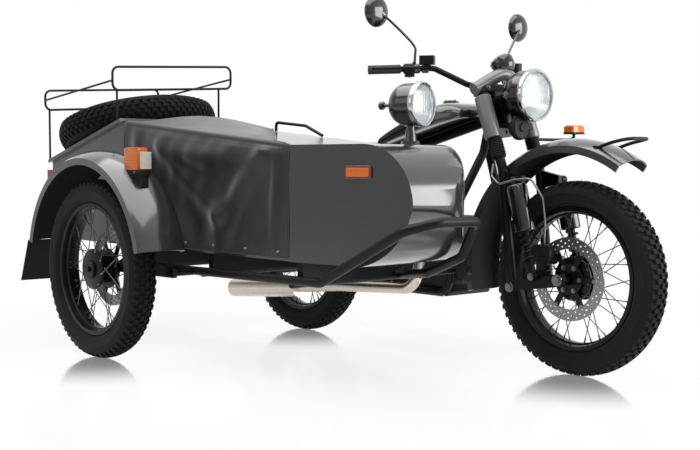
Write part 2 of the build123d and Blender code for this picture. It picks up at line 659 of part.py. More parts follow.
def hand_control(side):
    """Clamp with its block and lever, ahead of the bar beside the grip; the right one has a reservoir."""
    start, end = along_grip(side, 202), along_grip(side, 224)
    along = (end - start).normalized()
    ahead = Vector(-side * along.Y, side * along.X, 0).normalized()
    if ahead.X < 0:
        ahead = ahead * -1
    middle = (start + end) / 2
    clamp = rod(start, end, 17) - rod(start - (end - start), end + (end - start), BAR_R)
    plane = Plane(origin=middle + ahead * 12, x_dir=along, z_dir=ahead)
    body = extrude(plane * RectangleRounded(26, 24, 5), amount=34)
    pivot = middle + ahead * 46
    lever = tube([pivot, along_grip(side, 150) + ahead * 62, along_grip(side, 60) + ahead * 56,
                  along_grip(side, 12) + ahead * 66], 5, 40)
    control = clamp + body + lever + Pos(*(along_grip(side, 12) + ahead * 66)) * Sphere(8)
    top = middle + ahead * 42 + Vector(0, 0, 11)
    if side < 0:
        return control + Pos(*(top + Vector(0, 0, 16))) * Rot(0, 0, 35) * Box(54, 40, 32)
    return control + rod(top - Vector(0, 0, 8), top + Vector(0, 0, 30), 24)


save("hand_controls", both(hand_control))


DIAL_R = 38.0


def dials():
    """Speedometer on the top yoke's cover."""
    seat = HEAD_HALF + SEAT_GAP + YOKE_T + SEAT_GAP
    cover = extrude(HEAD.offset(seat) * Pos(YOKE_OFFSET - 8, 0) * RectangleRounded(48, 150, 20), amount=12)
    return cover + extrude(HEAD.offset(seat) * Pos(YOKE_OFFSET + 2, 0) * Circle(DIAL_R), amount=58)


save("dials", dials())

HOSE_R = 3.6
HOSE_POINTS = [(HEAD_X + 124, -147, HEAD_Z - 180), (HEAD_X + 126, -157, HEAD_Z - 225), (HEAD_X + 165, -162, HEAD_Z - 252),
               (HEAD_X + 235, -162, HEAD_Z - 236), (HEAD_X + 306, -158, HEAD_Z - 230), (HEAD_X + 322, -110, HEAD_Z - 300),
               (WHEELBASE - 96, -68, TYRE_R + 200), (WHEELBASE - 98, -68, TYRE_R + 117 + SEAT_GAP)]


def brake_hose():
    """Flexible hose from a guide on the right leg down to the caliper."""
    return tube(HOSE_POINTS, HOSE_R, 22)


save("brake_hose", brake_hose())
save("fender_loop", fender_stays())

# ---- sidecar -----------------------------------------------------------------------------
GRAB_RAIL_X = (314.0, 500.0, 600.0)   # rear foot, bend, front foot
GRAB_RAIL_H = 36.0
LID_TAN = tan(radians(LID_SLOPE))


def lid_z(x):
    """Underside of the boot lid."""
    return RIM_REAR_Z + (x - BULKHEAD_X) * LID_TAN


def rim_z(x):
    """Top line of the cockpit, falling to the nose."""
    return RIM_REAR_Z + (NOSE_TOP - RIM_REAR_Z) * (x - BULKHEAD_X) / (NOSE_REAR - BULKHEAD_X)


NOSE_R = (NOSE_TOP - TUB_BOTTOM) / 2


def tub_body():
    """The whole sidecar body as one filled form: side profile crossed with the plan."""
    nose_z = TUB_BOTTOM + NOSE_R
    arc_x = NOSE_FRONT - NOSE_R
    side = make_face(
        Polyline((NOSE_BELLY_X, TUB_BOTTOM), (TUB_REAR + 30, TUB_BOTTOM), (TUB_REAR, TUB_BOTTOM + 60),
                 (TUB_REAR, lid_z(TUB_REAR)), (BULKHEAD_X, RIM_REAR_Z), (NOSE_REAR, NOSE_TOP), (arc_x, NOSE_TOP))
        + RadiusArc((arc_x, NOSE_TOP), (NOSE_FRONT, nose_z), NOSE_R)
        + ThreePointArc((NOSE_FRONT, nose_z), NOSE_BELLY_MID, (NOSE_BELLY_X, TUB_BOTTOM)))
    body = Pos(0, TUB_INNER_Y, 0) * extrude(Plane.XZ * side, amount=TUB_INNER_Y - TUB_OUTER_Y)
    inset_y = TUB_OUTER_Y + COVER_STEP
    corner_start = (NOSE_FRONT, NOSE_INNER_Y)
    corner_mid, corner_end = NOSE_CORNER
    plan = make_face(
        Polyline((TUB_REAR, inset_y), (NOSE_REAR, inset_y), (NOSE_REAR, TUB_OUTER_Y),
                 (NOSE_FRONT, NOSE_OUTER_Y), corner_start)
        + ThreePointArc(corner_start, corner_mid, corner_end)
        + Polyline(corner_end, (NOSE_REAR, TUB_INNER_Y), (TUB_REAR, TUB_INNER_Y), (TUB_REAR, inset_y)))
    return body & extrude(plan, amount=1400)


def boot_box():
    """Everything of the body behind the joint with the cockpit."""
    return block(TUB_REAR - 10, BOOT_FRONT, TUB_OUTER_Y - 10, TUB_INNER_Y + 10, 0, 1400)


def sidecar_boot():
    front = BOOT_FRONT - TUB_WALL
    rear = TUB_REAR + TUB_WALL
    floor = TUB_BOTTOM + 60
    room = side_plate([(rear, floor), (front, floor), (front, lid_z(front) + 5), (rear, lid_z(rear) + 5)],
                      TUB_OUTER_Y + COVER_STEP + TUB_WALL, TUB_INNER_Y - TUB_WALL)
    return (tub_body() & boot_box()) - room


def tonneau_cover():
    y_out = TUB_OUTER_Y + COVER_STEP - COVER_GAP
    x0, x1 = BULKHEAD_X + 22, NOSE_REAR - 2
    y_in = TUB_INNER_Y + COVER_GAP
    top = rim_z(x0) + COVER_GAP
    flap = side_plate([(x0, COVER_HEM), (x0, top + COVER_T), (x1, rim_z(x1) + COVER_GAP + COVER_T),
                       (x1, COVER_HEM)], y_out - COVER_T, y_out)
    middle = (y_out + y_in) / 2
    section = make_face(
        ThreePointArc((y_out - 1, top), (middle, top + COVER_DOME), (y_in + 4, top))
        + Line((y_in + 4, top), (y_in + 4, top + COVER_T))
        + ThreePointArc((y_in + 4, top + COVER_T), (middle, top + COVER_DOME + COVER_T), (y_out - 1, top + COVER_T))
        + Line((y_out - 1, top + COVER_T), (y_out - 1, top)))
    fall = rim_z(x0) - rim_z(x1)
    length = (fall ** 2 + (x1 - x0) ** 2) ** 0.5
    roof = extrude(Plane(origin=(x0, 0, 0), x_dir=(0, 1, 0), z_dir=(1, 0, 0)) * section, amount=length,
                   dir=(x1 - x0, 0, -fall))
    ahead = make_face(Polyline((COVER_FRONT_INNER_X, y_in + 10), (x1 - 110, y_out), (x1 + 10, y_out),
                               (x1 + 10, y_in + 10), close=True))
    return flap + (roof - extrude(ahead, amount=1400))


def boot_lid():
    lid = side_plate([(LID_REAR, lid_z(LID_REAR) + SEAT_GAP), (BULKHEAD_X, RIM_REAR_Z + SEAT_GAP),
                      (BULKHEAD_X, RIM_REAR_Z + LID_T), (LID_REAR, lid_z(LID_REAR) + LID_T)],
                     TUB_OUTER_Y - 5, TUB_INNER_Y + 5)
    foot = Vector(SPARE_X, SPARE_Y, lid_z(SPARE_X))
    up = Vector(-sin(radians(LID_SLOPE)), 0, cos(radians(LID_SLOPE)))
    return lid + rod(foot + up * LID_T / 2, foot + up * 150, AXLE_R)


save("sidecar_tub", tub_body() - boot_box())
save("sidecar_boot", sidecar_boot())
save("tonneau_cover", tonneau_cover())
save("boot_lid", boot_lid())

SPARE_RISE = LID_T * cos(radians(LID_SLOPE)) + SPARE_LIFT + TYRE_W / 2
SPARE_PLACE = (Pos(SPARE_X, SPARE_Y, lid_z(SPARE_X)) * Rot(0, -LID_SLOPE, 0) * Pos(0, 0, SPARE_RISE)
               * Rot(90, 0, 0))
save("spare_tyre", SPARE_PLACE * TYRE)
save("spare_rim", SPARE_PLACE * RIM)

RACK_R = 5.0
RACK_TILT = 30.0                 # rise of the hoops from their outer to their inner end
RACK_OUTER_Y = TUB_OUTER_Y - 20.0
RACK_INNER_Y = TUB_INNER_Y + 65.0
RACK_REAR_X = TUB_REAR
RACK_FRONT_X = BULKHEAD_X - 30.0
RACK_HOOPS = (
    # x, bottom z, top z
    (RACK_REAR_X, lid_z(RACK_REAR_X) + 230.5, lid_z(RACK_REAR_X) + 315.5),
    (RACK_FRONT_X, lid_z(RACK_FRONT_X) + 135.0, lid_z(RACK_FRONT_X) + 229.0),
)


def rack_rise(y):
    """Rise of the hoops at a place across them."""
    return RACK_TILT * (y - RACK_OUTER_Y) / (RACK_INNER_Y - RACK_OUTER_Y)


def rack_hoop(x, low, high):
    """Rounded rectangle of thin bar that stands across the boot, made as two halves."""
    hoop = None
    middle = (RACK_OUTER_Y + RACK_INNER_Y) / 2
    for end in (RACK_OUTER_Y, RACK_INNER_Y):
        half = tube([(x, y, z + rack_rise(y)) for y, z in ((middle, low), (end, low), (end, high), (middle, high))],
                    RACK_R, 28)
        hoop = half if hoop is None else hoop + half
    return hoop


def luggage_rack():
    rear, front = RACK_HOOPS
    rack = rack_hoop(*rear) + rack_hoop(*front)
    for y in (RACK_OUTER_Y, RACK_INNER_Y):
        rise = rack_rise(y)
        rack += rod((rear[0], y, (rear[1] + rear[2]) / 2 + rise), (front[0], y, front[1] + 40 + rise), RACK_R - 0.8)
    for y in (TUB_OUTER_Y, TUB_INNER_Y):
        for x, low, _ in RACK_HOOPS:
            rack += rod((x, y, lid_z(x) + LID_T + 1.7), (x, y, low + rack_rise(y)), RACK_R - 0.5)
    return rack


save("luggage_rack", luggage_rack())


def sidecar_frame():
    front, outer, inner = NOSE_FRONT, TUB_OUTER_Y, TUB_INNER_Y
    frame = tube([(60, RAIL_OUTER_Y, RAIL_Z), (front - 348, RAIL_OUTER_Y, RAIL_Z + 15),
                  (front + 17, outer + 25, RAIL_Z + 200), (front + 90, outer + 100, RAIL_Z + 227),
                  (front + 66, inner - 215, RAIL_Z + 223), (front + 2, inner - 148, RAIL_Z + 203),
                  (front - 52, inner - 145, RAIL_Z + 101), (front - 248, inner - 105, RAIL_Z + 31),
                  (NOSE_REAR, RAIL_INNER_Y, RAIL_Z), (60, RAIL_INNER_Y, RAIL_Z)], RAIL_R, 50)
    for x in (60, 480, NOSE_REAR):
        frame += across(x, RAIL_Z, RAIL_OUTER_Y, RAIL_INNER_Y, 15)
        frame += block(x - 15, x + 15, RAIL_OUTER_Y + 40, RAIL_INNER_Y - 40, RAIL_Z, TUB_BOTTOM)
    x = SIDECAR_SHOCK[1][0]
    stay_z = TYRE_R + MUDGUARD_R - 43
    frame += tube([(x + 10, RAIL_OUTER_Y, RAIL_Z), (x + 5, UPRIGHT_Y, RAIL_Z + 50), (x, UPRIGHT_Y, stay_z),
                   (x, SIDECAR_GUARD_Y + SIDECAR_GUARD_HALF + SEAT_GAP, stay_z)], 13, 20)
    frame += across(*SIDECAR_SHOCK[1], UPRIGHT_Y, SIDECAR_SHOCK_Y - 14, SHOCK_PIN_R)
    frame += across(420, RAIL_Z, RAIL_OUTER_Y, SIDECAR_ARM_Y[0] - 8, 12)
    struts = (
        # on the sidecar frame, on the motorcycle frame, radius
        ((NOSE_REAR + 35, RAIL_INNER_Y, RAIL_Z), (DOWN_TUBE_X - 23, -CRADLE_Y, RAIL_Z), 13),
        ((330, RAIL_INNER_Y, RAIL_Z), (UPRIGHT_X, -CRADLE_Y, CRADLE_Z + 45), 13),
        ((NOSE_REAR - 40, RAIL_INNER_Y, RAIL_Z), (DOWN_TUBE_X + 7, -CRADLE_Y, DOWN_TUBE_Z + 10), 12),
        ((250, RAIL_INNER_Y, RAIL_Z), (300, -CRADLE_Y, SEAT_RAIL_Z - 40), 12),
    )
    for low, high, radius in struts:
        frame += rod(low, high, radius)
    return frame - cradle_tube(-1, FRAME_R + SEAT_GAP)


save("sidecar_frame", sidecar_frame())


def sidecar_swing_arm():
    y0, y1 = SIDECAR_ARM_Y
    arm = side_plate([(SIDECAR_LEAD - 25, TYRE_R - 20), (440, RAIL_Z - 16), (440, RAIL_Z + 16),
                      (SIDECAR_LEAD + 90, TYRE_R + 55), (SIDECAR_LEAD + 50, TYRE_R + 55),
                      (SIDECAR_LEAD - 25, TYRE_R + 22)], y0, y1)
    arm -= across(420, RAIL_Z, -TRACK, 200 - TRACK, 12 + RUNNING_GAP)
    arm += across(SIDECAR_LEAD, TYRE_R, y0, -TRACK - 58, AXLE_R)
    arm += across(*SIDECAR_SHOCK[0], y0, SIDECAR_SHOCK_Y + 14, SHOCK_PIN_R)
    return arm


save("sidecar_swing_arm", sidecar_swing_arm())
save("sidecar_fender", mudguard(SIDECAR_LEAD, TYRE_R, SIDECAR_GUARD_Y, SIDECAR_GUARD_HALF, MUDGUARD_R, 12,
                                SIDECAR_GUARD_END, 30))


def grab_rail():
    """Low rail along the cockpit's inner rim."""
    y = TUB_INNER_Y - 18
    foot = 1.0
    x0, x1, x2 = GRAB_RAIL_X
    return tube([(x0, y, rim_z(x0) + foot), (x0, y, rim_z(x0) + GRAB_RAIL_H), (x1, y, rim_z(x1) + GRAB_RAIL_H),
                 (x2, y, rim_z(x2) + foot + 5)], 6, 14)


save("grab_rail", grab_rail())


def mudflap():
    """Rubber flap under the rear end of the sidecar fender."""
    end = radians(SIDECAR_GUARD_END)
    x = SIDECAR_LEAD + (MUDGUARD_R - 8) * cos(end)
    z = TYRE_R + (MUDGUARD_R - 8) * sin(end) - 1
    return side_plate([(x, z), (x - 6, z), (x - 76, TYRE_R - 80), (x - 70, TYRE_R - 80)],
                      SIDECAR_GUARD_Y - 92, SIDECAR_GUARD_Y + 92)


save("mudflap", mudflap())

SEARCH_X = NOSE_FRONT - 196.0
SEARCH_Y = TUB_INNER_Y - 185.0
SEARCH_Z = NOSE_TOP + 133.0
SEARCH_R = 74.0


def searchlight_shell():
    shell = lamp_shell(SEARCH_X, SEARCH_Y, SEARCH_Z, SEARCH_R, 104)
    shell += rod((SEARCH_X - 55, SEARCH_Y, NOSE_TOP), (SEARCH_X - 55, SEARCH_Y, SEARCH_Z - 60), 9)
    shell += rod((SEARCH_X - 55, SEARCH_Y, NOSE_TOP), (SEARCH_X - 55, SEARCH_Y, NOSE_TOP + 10), 24)
    shell += rod((SEARCH_X - 135, SEARCH_Y, SEARCH_Z), (SEARCH_X - 95, SEARCH_Y, SEARCH_Z), 8)
    return shell


save("searchlight_shell", searchlight_shell())
save("searchlight_lens", lamp_lens(SEARCH_X, SEARCH_Y, SEARCH_Z, SEARCH_R, 10))

MARKER_ANGLE = 52.0
MARKER_RISE = 22.0
MARKER_HALF = 28.0
GUARD_AXLE = (SIDECAR_LEAD, -TRACK, TYRE_R)


def on_guard(angle):
    """x and z on the sidecar fender's crown at an angle from straight ahead."""
    return (SIDECAR_LEAD + MUDGUARD_R * cos(radians(angle)), TYRE_R + MUDGUARD_R * sin(radians(angle)))


def guard_room():
    """Everything inside the sidecar fender's outer radius."""
    return Pos(*GUARD_AXLE) * across(0, 0, -80, 80, MUDGUARD_R + SEAT_GAP)


def marker_lamp():
    x, z = on_guard(MARKER_ANGLE)
    return block(x - 76, x + 62, -TRACK - MARKER_HALF, MARKER_HALF - TRACK, z - 40, z + MARKER_RISE) - guard_room()


def amber_lenses():
    """Marker lens on its base, and the flat reflector on the nose panel."""
    x, z = on_guard(MARKER_ANGLE)
    z += MARKER_RISE
    lens = block(x - 58, x + 44, 2 - TRACK - MARKER_HALF, MARKER_HALF - 2 - TRACK, z, z + 80)
    lens = fillet(lens.edges().filter_by(Axis.Z), 8) - guard_room()
    reflector_x = NOSE_FRONT - 208.0
    slope = (NOSE_OUTER_Y - TUB_OUTER_Y) / (NOSE_FRONT - NOSE_REAR)
    reflector_y = TUB_OUTER_Y + slope * (reflector_x - NOSE_REAR)
    plate = Rot(0, 0, degrees(atan2(slope, 1))) * Box(105, 8, 42)
    return lens + Pos(reflector_x, reflector_y - 4.5, TUB_BOTTOM + 302) * plate


save("marker_lamp_base", marker_lamp())
save("amber_lenses", amber_lenses())


def rear_lamps():
    """Tail lamp on the rear fender and a small one on the back of the sidecar fender."""
    tail_x = -(REAR_GUARD_R - 55.0)
    tail = block(tail_x - 110, tail_x, -45, 45, TYRE_R + 125, TYRE_R + 185)
    tail -= across(0, TYRE_R, -60, 60, REAR_GUARD_R + SEAT_GAP)
    x, z = on_guard(133.0)
    small = block(x - 52, x + 46, -TRACK - 30, 26 - TRACK, z - 8, z + 46)
    return tail + (small - guard_room())


save("rear_lamps", rear_lamps())
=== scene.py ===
"""Finishes and small pieces of a sidecar motorcycle, built round its CAD frame."""

import math

import bmesh
import bpy
from bpy.props import FloatProperty, FloatVectorProperty, IntProperty
from mathutils import Matrix, Vector


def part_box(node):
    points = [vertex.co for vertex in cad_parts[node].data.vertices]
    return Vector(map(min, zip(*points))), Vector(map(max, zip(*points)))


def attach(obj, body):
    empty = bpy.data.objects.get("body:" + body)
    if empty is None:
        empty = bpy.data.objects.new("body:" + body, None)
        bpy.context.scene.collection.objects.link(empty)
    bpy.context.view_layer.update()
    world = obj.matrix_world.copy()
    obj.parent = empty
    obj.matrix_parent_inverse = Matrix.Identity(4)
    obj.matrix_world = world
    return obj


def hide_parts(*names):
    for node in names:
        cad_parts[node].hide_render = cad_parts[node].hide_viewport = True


bl_info = {
    "name": "Sidecar motorcycle",
    "version": (1, 0, 0),
    "blender": (4, 5, 0),
    "location": "3D View > Sidebar > Sidecar",
    "description": "Finishes, tyres, wheels, cloth and small fittings of a sidecar motorcycle",
    "category": "Object",
}

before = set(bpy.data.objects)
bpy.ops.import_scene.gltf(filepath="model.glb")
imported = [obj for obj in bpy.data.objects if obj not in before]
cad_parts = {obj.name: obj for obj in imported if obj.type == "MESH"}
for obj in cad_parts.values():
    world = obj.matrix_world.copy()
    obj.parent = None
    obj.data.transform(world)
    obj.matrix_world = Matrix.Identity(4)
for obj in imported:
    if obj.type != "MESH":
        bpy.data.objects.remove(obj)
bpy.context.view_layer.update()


# ---- places --------------------------------------------------------------------------------
def middle(node):
    """Centre of a CAD node's box."""
    low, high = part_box(node)
    return (low + high) / 2


FRONT_AXLE = middle("front_tyre")
REAR_AXLE = middle("rear_tyre")
SIDECAR_AXLE = middle("sidecar_tyre")
TYRE_R = REAR_AXLE.z
MM = 0.001
RAKE = math.radians(20.0)                  # lean of the steering axis
BAR_TIP, BAR_BEND = (840, 400, 1095), (982, 200, 1103)      # left end of the handlebar, in mm


def spot(x, y, z):
    """Place given in millimetres from the floor under the rear axle, x ahead, y to the left, z up."""
    return Vector((REAR_AXLE.x + x * MM, REAR_AXLE.y + y * MM, z * MM))


def bar_inward(side):
    """Direction of the handlebar's end, from its tip towards the bend."""
    x, y, z = (bend - tip for bend, tip in zip(BAR_BEND, BAR_TIP))
    return Vector((x, side * y, z)).normalized()


# ---- colours and materials -----------------------------------------------------------------
def linear(code):
    """sRGB hex colour as linear RGBA."""
    def channel(c):
        return c / 12.92 if c <= 0.04045 else ((c + 0.055) / 1.055) ** 2.4
    values = [channel(int(code[i:i + 2], 16) / 255) for i in (1, 3, 5)]
    return (*values, 1.0)


def add(tree, kind, inputs=None, links=None, **settings):
    """Add one node, set its properties and inputs, and link inputs from other sockets."""
    node = tree.nodes.new(kind)
    for key, value in settings.items():
        setattr(node, key, value)
    for key, value in (inputs or {}).items():
        node.inputs[key].default_value = value
    for key, socket in (links or {}).items():
        tree.links.new(socket, node.inputs[key])
    return node


def per_metre(size_mm):
    """Texture scale at which one feature is about this many millimetres."""
    return 1000.0 / size_mm


def start_material(name):
    """Empty node material with its output, shader and object coordinates."""
    material = bpy.data.materials.new(name)
    material.use_nodes = True
    tree = material.node_tree
    tree.nodes.clear()
    shader = add(tree, "ShaderNodeBsdfPrincipled")
    add(tree, "ShaderNodeOutputMaterial", links={"Surface": shader.outputs[0]})
    place = add(tree, "ShaderNodeTexCoord")
    return material, tree, shader, place.outputs["Object"]


def mottle(tree, place, shader, colour, spread, size_mm, rough, rough_spread):
    """Colour and roughness that wander about a mean, as on any real surface."""
    noise = add(tree, "ShaderNodeTexNoise", {"Scale": per_metre(size_mm), "Detail": 5.0, "Roughness": 0.6},
                {"Vector": place})
    low = [c * (1 - spread) for c in colour[:3]] + [1.0]
    high = [min(c * (1 + spread), 1.0) for c in colour[:3]] + [1.0]
    ramp = add(tree, "ShaderNodeMix", links={"Factor": noise.outputs["Fac"]}, data_type="RGBA")
    ramp.inputs[6].default_value = low
    ramp.inputs[7].default_value = high
    tree.links.new(ramp.outputs[2], shader.inputs["Base Color"])
    level = add(tree, "ShaderNodeMapRange", {"To Min": rough - rough_spread, "To Max": rough + rough_spread},
                {"Value": noise.outputs["Fac"]})
    tree.links.new(level.outputs[0], shader.inputs["Roughness"])
    return noise


def bump(tree, shader, height, strength, depth_mm, after=None):
    """Bump of a height socket. Returns the normal, so that bumps can follow each other."""
    links = {"Height": height}
    if after is not None:
        links["Normal"] = after
    node = add(tree, "ShaderNodeBump", {"Strength": strength, "Distance": depth_mm * MM}, links)
    tree.links.new(node.outputs["Normal"], shader.inputs["Normal"])
    return node.outputs["Normal"]


def set_constants(shader, **values):
    """Values that are the same all over, set on the shader's own sockets."""
    names = {"metallic": "Metallic", "ior": "IOR", "coat": "Coat Weight", "coat_rough": "Coat Roughness",
             "sheen": "Sheen Weight", "transmission": "Transmission Weight", "specular": "Specular IOR Level",
             "anisotropic": "Anisotropic", "sheen_rough": "Sheen Roughness"}
    for key, value in values.items():
        shader.inputs[names[key]].default_value = value


def enamel(name, code, rough, coat):
    """Sprayed and baked enamel over steel: soft orange peel under a thin clear film."""
    material, tree, shader, place = start_material(name)
    mottle(tree, place, shader, linear(code), 0.06, 180, rough, 0.03)
    peel = add(tree, "ShaderNodeTexNoise", {"Scale": per_metre(3.0), "Detail": 2.0}, {"Vector": place})
    bump(tree, shader, peel.outputs["Fac"], 0.12, 0.15)
    set_constants(shader, ior=1.5, coat=coat, coat_rough=0.10)
    return material


def fender_enamel_with_painted_shade(name, code, rough, coat, axle):
    """Enamelled fender: the same film outside, and black painted shade on the side that faces the wheel."""
    material = enamel(name, code, rough, coat)
    tree = material.node_tree
    shader = next(node for node in tree.nodes if node.type == "BSDF_PRINCIPLED")
    outer = shader.inputs["Base Color"].links[0].from_socket
    place = next(node for node in tree.nodes if node.type == "TEX_COORD").outputs["Object"]
    surface = add(tree, "ShaderNodeNewGeometry")
    out = add(tree, "ShaderNodeVectorMath", {1: tuple(axle)}, {0: place}, operation="SUBTRACT")
    across = add(tree, "ShaderNodeVectorMath", {1: (1.0, 0.0, 1.0)}, {0: out.outputs[0]},
                 operation="MULTIPLY")
    facing = add(tree, "ShaderNodeVectorMath", links={0: across.outputs[0], 1: surface.outputs["Normal"]},
                 operation="DOT_PRODUCT")
    # faces that turn towards the wheel's axle get painted shade: black, dull and without the clear film
    inside = add(tree, "ShaderNodeMath", {1: -0.12}, {0: facing.outputs["Value"]}, operation="LESS_THAN")
    mix = add(tree, "ShaderNodeMix", links={"Factor": inside.outputs[0]}, data_type="RGBA")
    tree.links.new(outer, mix.inputs[6])
    # near-black colour of the painted shade inside the fender
    mix.inputs[7].default_value = linear("#0b0b0c")
    tree.links.new(mix.outputs[2], shader.inputs["Base Color"])
    film = shader.inputs["Roughness"].links[0].from_socket
    dull = add(tree, "ShaderNodeMix", {3: 0.9}, {0: inside.outputs[0], 2: film}, data_type="FLOAT")
    tree.links.new(dull.outputs[0], shader.inputs["Roughness"])
    clear = add(tree, "ShaderNodeMapRange", {"To Min": coat, "To Max": 0.0}, {"Value": inside.outputs[0]})
    tree.links.new(clear.outputs[0], shader.inputs["Coat Weight"])
    return material


def powder_coat(name, code, rough):
    """Powder coat on tube: even, slightly pebbled film, duller where it was handled."""
    material, tree, shader, place = start_material(name)
    mottle(tree, place, shader, linear(code), 0.15, 60, rough, 0.06)
    pebble = add(tree, "ShaderNodeTexVoronoi", {"Scale": per_metre(2.0)}, {"Vector": place})
    bump(tree, shader, pebble.outputs["Distance"], 0.10, 0.1)
    set_constants(shader, ior=1.5, specular=0.22)
    return material


def cast_aluminium(name, code, rough, metallic):
    """Sand-cast aluminium, painted: grainy skin that breaks up highlights."""
    material, tree, shader, place = start_material(name)
    mottle(tree, place, shader, linear(code), 0.25, 30, rough, 0.08)
    grain = add(tree, "ShaderNodeTexNoise", {"Scale": per_metre(1.5), "Detail": 6.0, "Roughness": 0.7},
                {"Vector": place})
    bump(tree, shader, grain.outputs["Fac"], 0.35, 0.4)
    set_constants(shader, metallic=metallic, ior=1.5)
    return material


def rolled_steel(name, code, rough, stretch):
    """Brushed or ground steel: fine scratches along one direction, so lights smear across them."""
    material, tree, shader, place = start_material(name)
    mottle(tree, place, shader, linear(code), 0.10, 90, rough, 0.07)
    squeeze = add(tree, "ShaderNodeMapping", {"Scale": stretch}, {"Vector": place})
    scratch = add(tree, "ShaderNodeTexNoise", {"Scale": per_metre(1.2), "Detail": 3.0},
                  {"Vector": squeeze.outputs[0]})
    bump(tree, shader, scratch.outputs["Fac"], 0.10, 0.1)
    set_constants(shader, metallic=1.0, anisotropic=0.3)
    return material


def chromed(name):
    """Chrome plate over polished steel: near mirror with faint haze."""
    material, tree, shader, place = start_material(name)
    mottle(tree, place, shader, linear("#c9cbcc"), 0.04, 25, 0.10, 0.05)
    set_constants(shader, metallic=1.0)
    return material


def mirror_glass(name):
    """Silvered glass: a clean mirror with a breath of haze."""
    material, tree, shader, place = start_material(name)
    mottle(tree, place, shader, linear("#b8bfc4"), 0.05, 40, 0.05, 0.03)
    set_constants(shader, metallic=1.0)
    return material


def aluminised(name):
    """Vacuum-aluminised lamp bowl: bright and faintly frosted, so that it fills with light."""
    material, tree, shader, place = start_material(name)
    mottle(tree, place, shader, linear("#f2f2f2"), 0.03, 30, 0.24, 0.05)
    set_constants(shader, metallic=1.0)
    return material


def lamp_glass(name):
    """Pressed lamp glass: clear, with upright flutes that spread the beam."""
    material, tree, shader, place = start_material(name)
    mottle(tree, place, shader, linear("#e9eef0"), 0.02, 40, 0.06, 0.03)
    flutes = add(tree, "ShaderNodeTexWave", {"Scale": per_metre(36.0), "Distortion": 0.0}, {"Vector": place},
                 bands_direction="Y")
    bump(tree, shader, flutes.outputs["Fac"], 0.45, 1.0)
    set_constants(shader, transmission=0.9, ior=1.5, coat=0.4, coat_rough=0.05)
    return material


def acrylic(name, code, ribs_mm):
    """Moulded coloured acrylic: deep gloss, with pressed ribs inside that catch light."""
    material, tree, shader, place = start_material(name)
    mottle(tree, place, shader, linear(code), 0.12, 20, 0.16, 0.05)
    ribs = add(tree, "ShaderNodeTexWave", {"Scale": per_metre(ribs_mm * 6)}, {"Vector": place},
               bands_direction="Z")
    bump(tree, shader, ribs.outputs["Fac"], 0.35, 0.8)
    set_constants(shader, ior=1.49, coat=0.6, coat_rough=0.05, transmission=0.25)
    return material


def tyre_rubber(name):
    """Vulcanised tyre rubber: dull black, greyed by dust in its pores."""
    material, tree, shader, place = start_material(name)
    mottle(tree, place, shader, linear("#121213"), 0.35, 45, 0.72, 0.10)
    pores = add(tree, "ShaderNodeTexNoise", {"Scale": per_metre(2.5), "Detail": 6.0}, {"Vector": place})
    bump(tree, shader, pores.outputs["Fac"], 0.30, 0.4)
    set_constants(shader, ior=1.52, sheen=0.03, sheen_rough=0.6, specular=0.16)
    return material


def moulded_rubber(name, code="#101011"):
    """Soft moulded rubber for grips, flap and boots: matt with fine ribs."""
    material, tree, shader, place = start_material(name)
    mottle(tree, place, shader, linear(code), 0.25, 30, 0.60, 0.08)
    ribs = add(tree, "ShaderNodeTexWave", {"Scale": per_metre(24.0)}, {"Vector": place}, bands_direction="Y")
    bump(tree, shader, ribs.outputs["Fac"], 0.30, 0.6)
    set_constants(shader, ior=1.52, specular=0.25)
    return material


def coated_canvas(name):
    """Vinyl-coated canvas: plain weave pressed through the film, shiny where it is stretched."""
    material, tree, shader, place = start_material(name)
    mottle(tree, place, shader, linear("#0b0b0d"), 0.22, 120, 0.34, 0.08)
    # the real threads are 0.6 mm apart; they are drawn 2.4 mm apart so that they show
    weave_scale = per_metre(2.4) * 2 * math.pi / 20
    warp = add(tree, "ShaderNodeTexWave", {"Scale": weave_scale}, {"Vector": place}, bands_direction="X")
    weft = add(tree, "ShaderNodeTexWave", {"Scale": weave_scale}, {"Vector": place}, bands_direction="Z")
    cross = add(tree, "ShaderNodeMath", links={0: warp.outputs["Fac"], 1: weft.outputs["Fac"]},
                operation="MULTIPLY")
    crease = add(tree, "ShaderNodeTexNoise", {"Scale": per_metre(55.0), "Detail": 5.0, "Roughness": 0.55},
                 {"Vector": place})
    normal = bump(tree, shader, crease.outputs["Fac"], 0.35, 4.0)
    bump(tree, shader, cross.outputs[0], 0.20, 0.4, normal)
    set_constants(shader, ior=1.5, sheen=0.40, sheen_rough=0.38, specular=0.45)
    return material


def seat_vinyl(name):
    """Leather-grained vinyl over foam."""
    material, tree, shader, place = start_material(name)
    mottle(tree, place, shader, linear("#1a1a1b"), 0.2, 80, 0.48, 0.08)
    grain = add(tree, "ShaderNodeTexVoronoi", {"Scale": per_metre(3.0)}, {"Vector": place})
    bump(tree, shader, grain.outputs["Distance"], 0.35, 0.4)
    set_constants(shader, ior=1.5, sheen=0.15)
    return material


def dial_face(name):
    """Printed dial card."""
    material, tree, shader, place = start_material(name)
    mottle(tree, place, shader, linear("#121214"), 0.2, 10, 0.5, 0.05)
    return material


MADE = {}


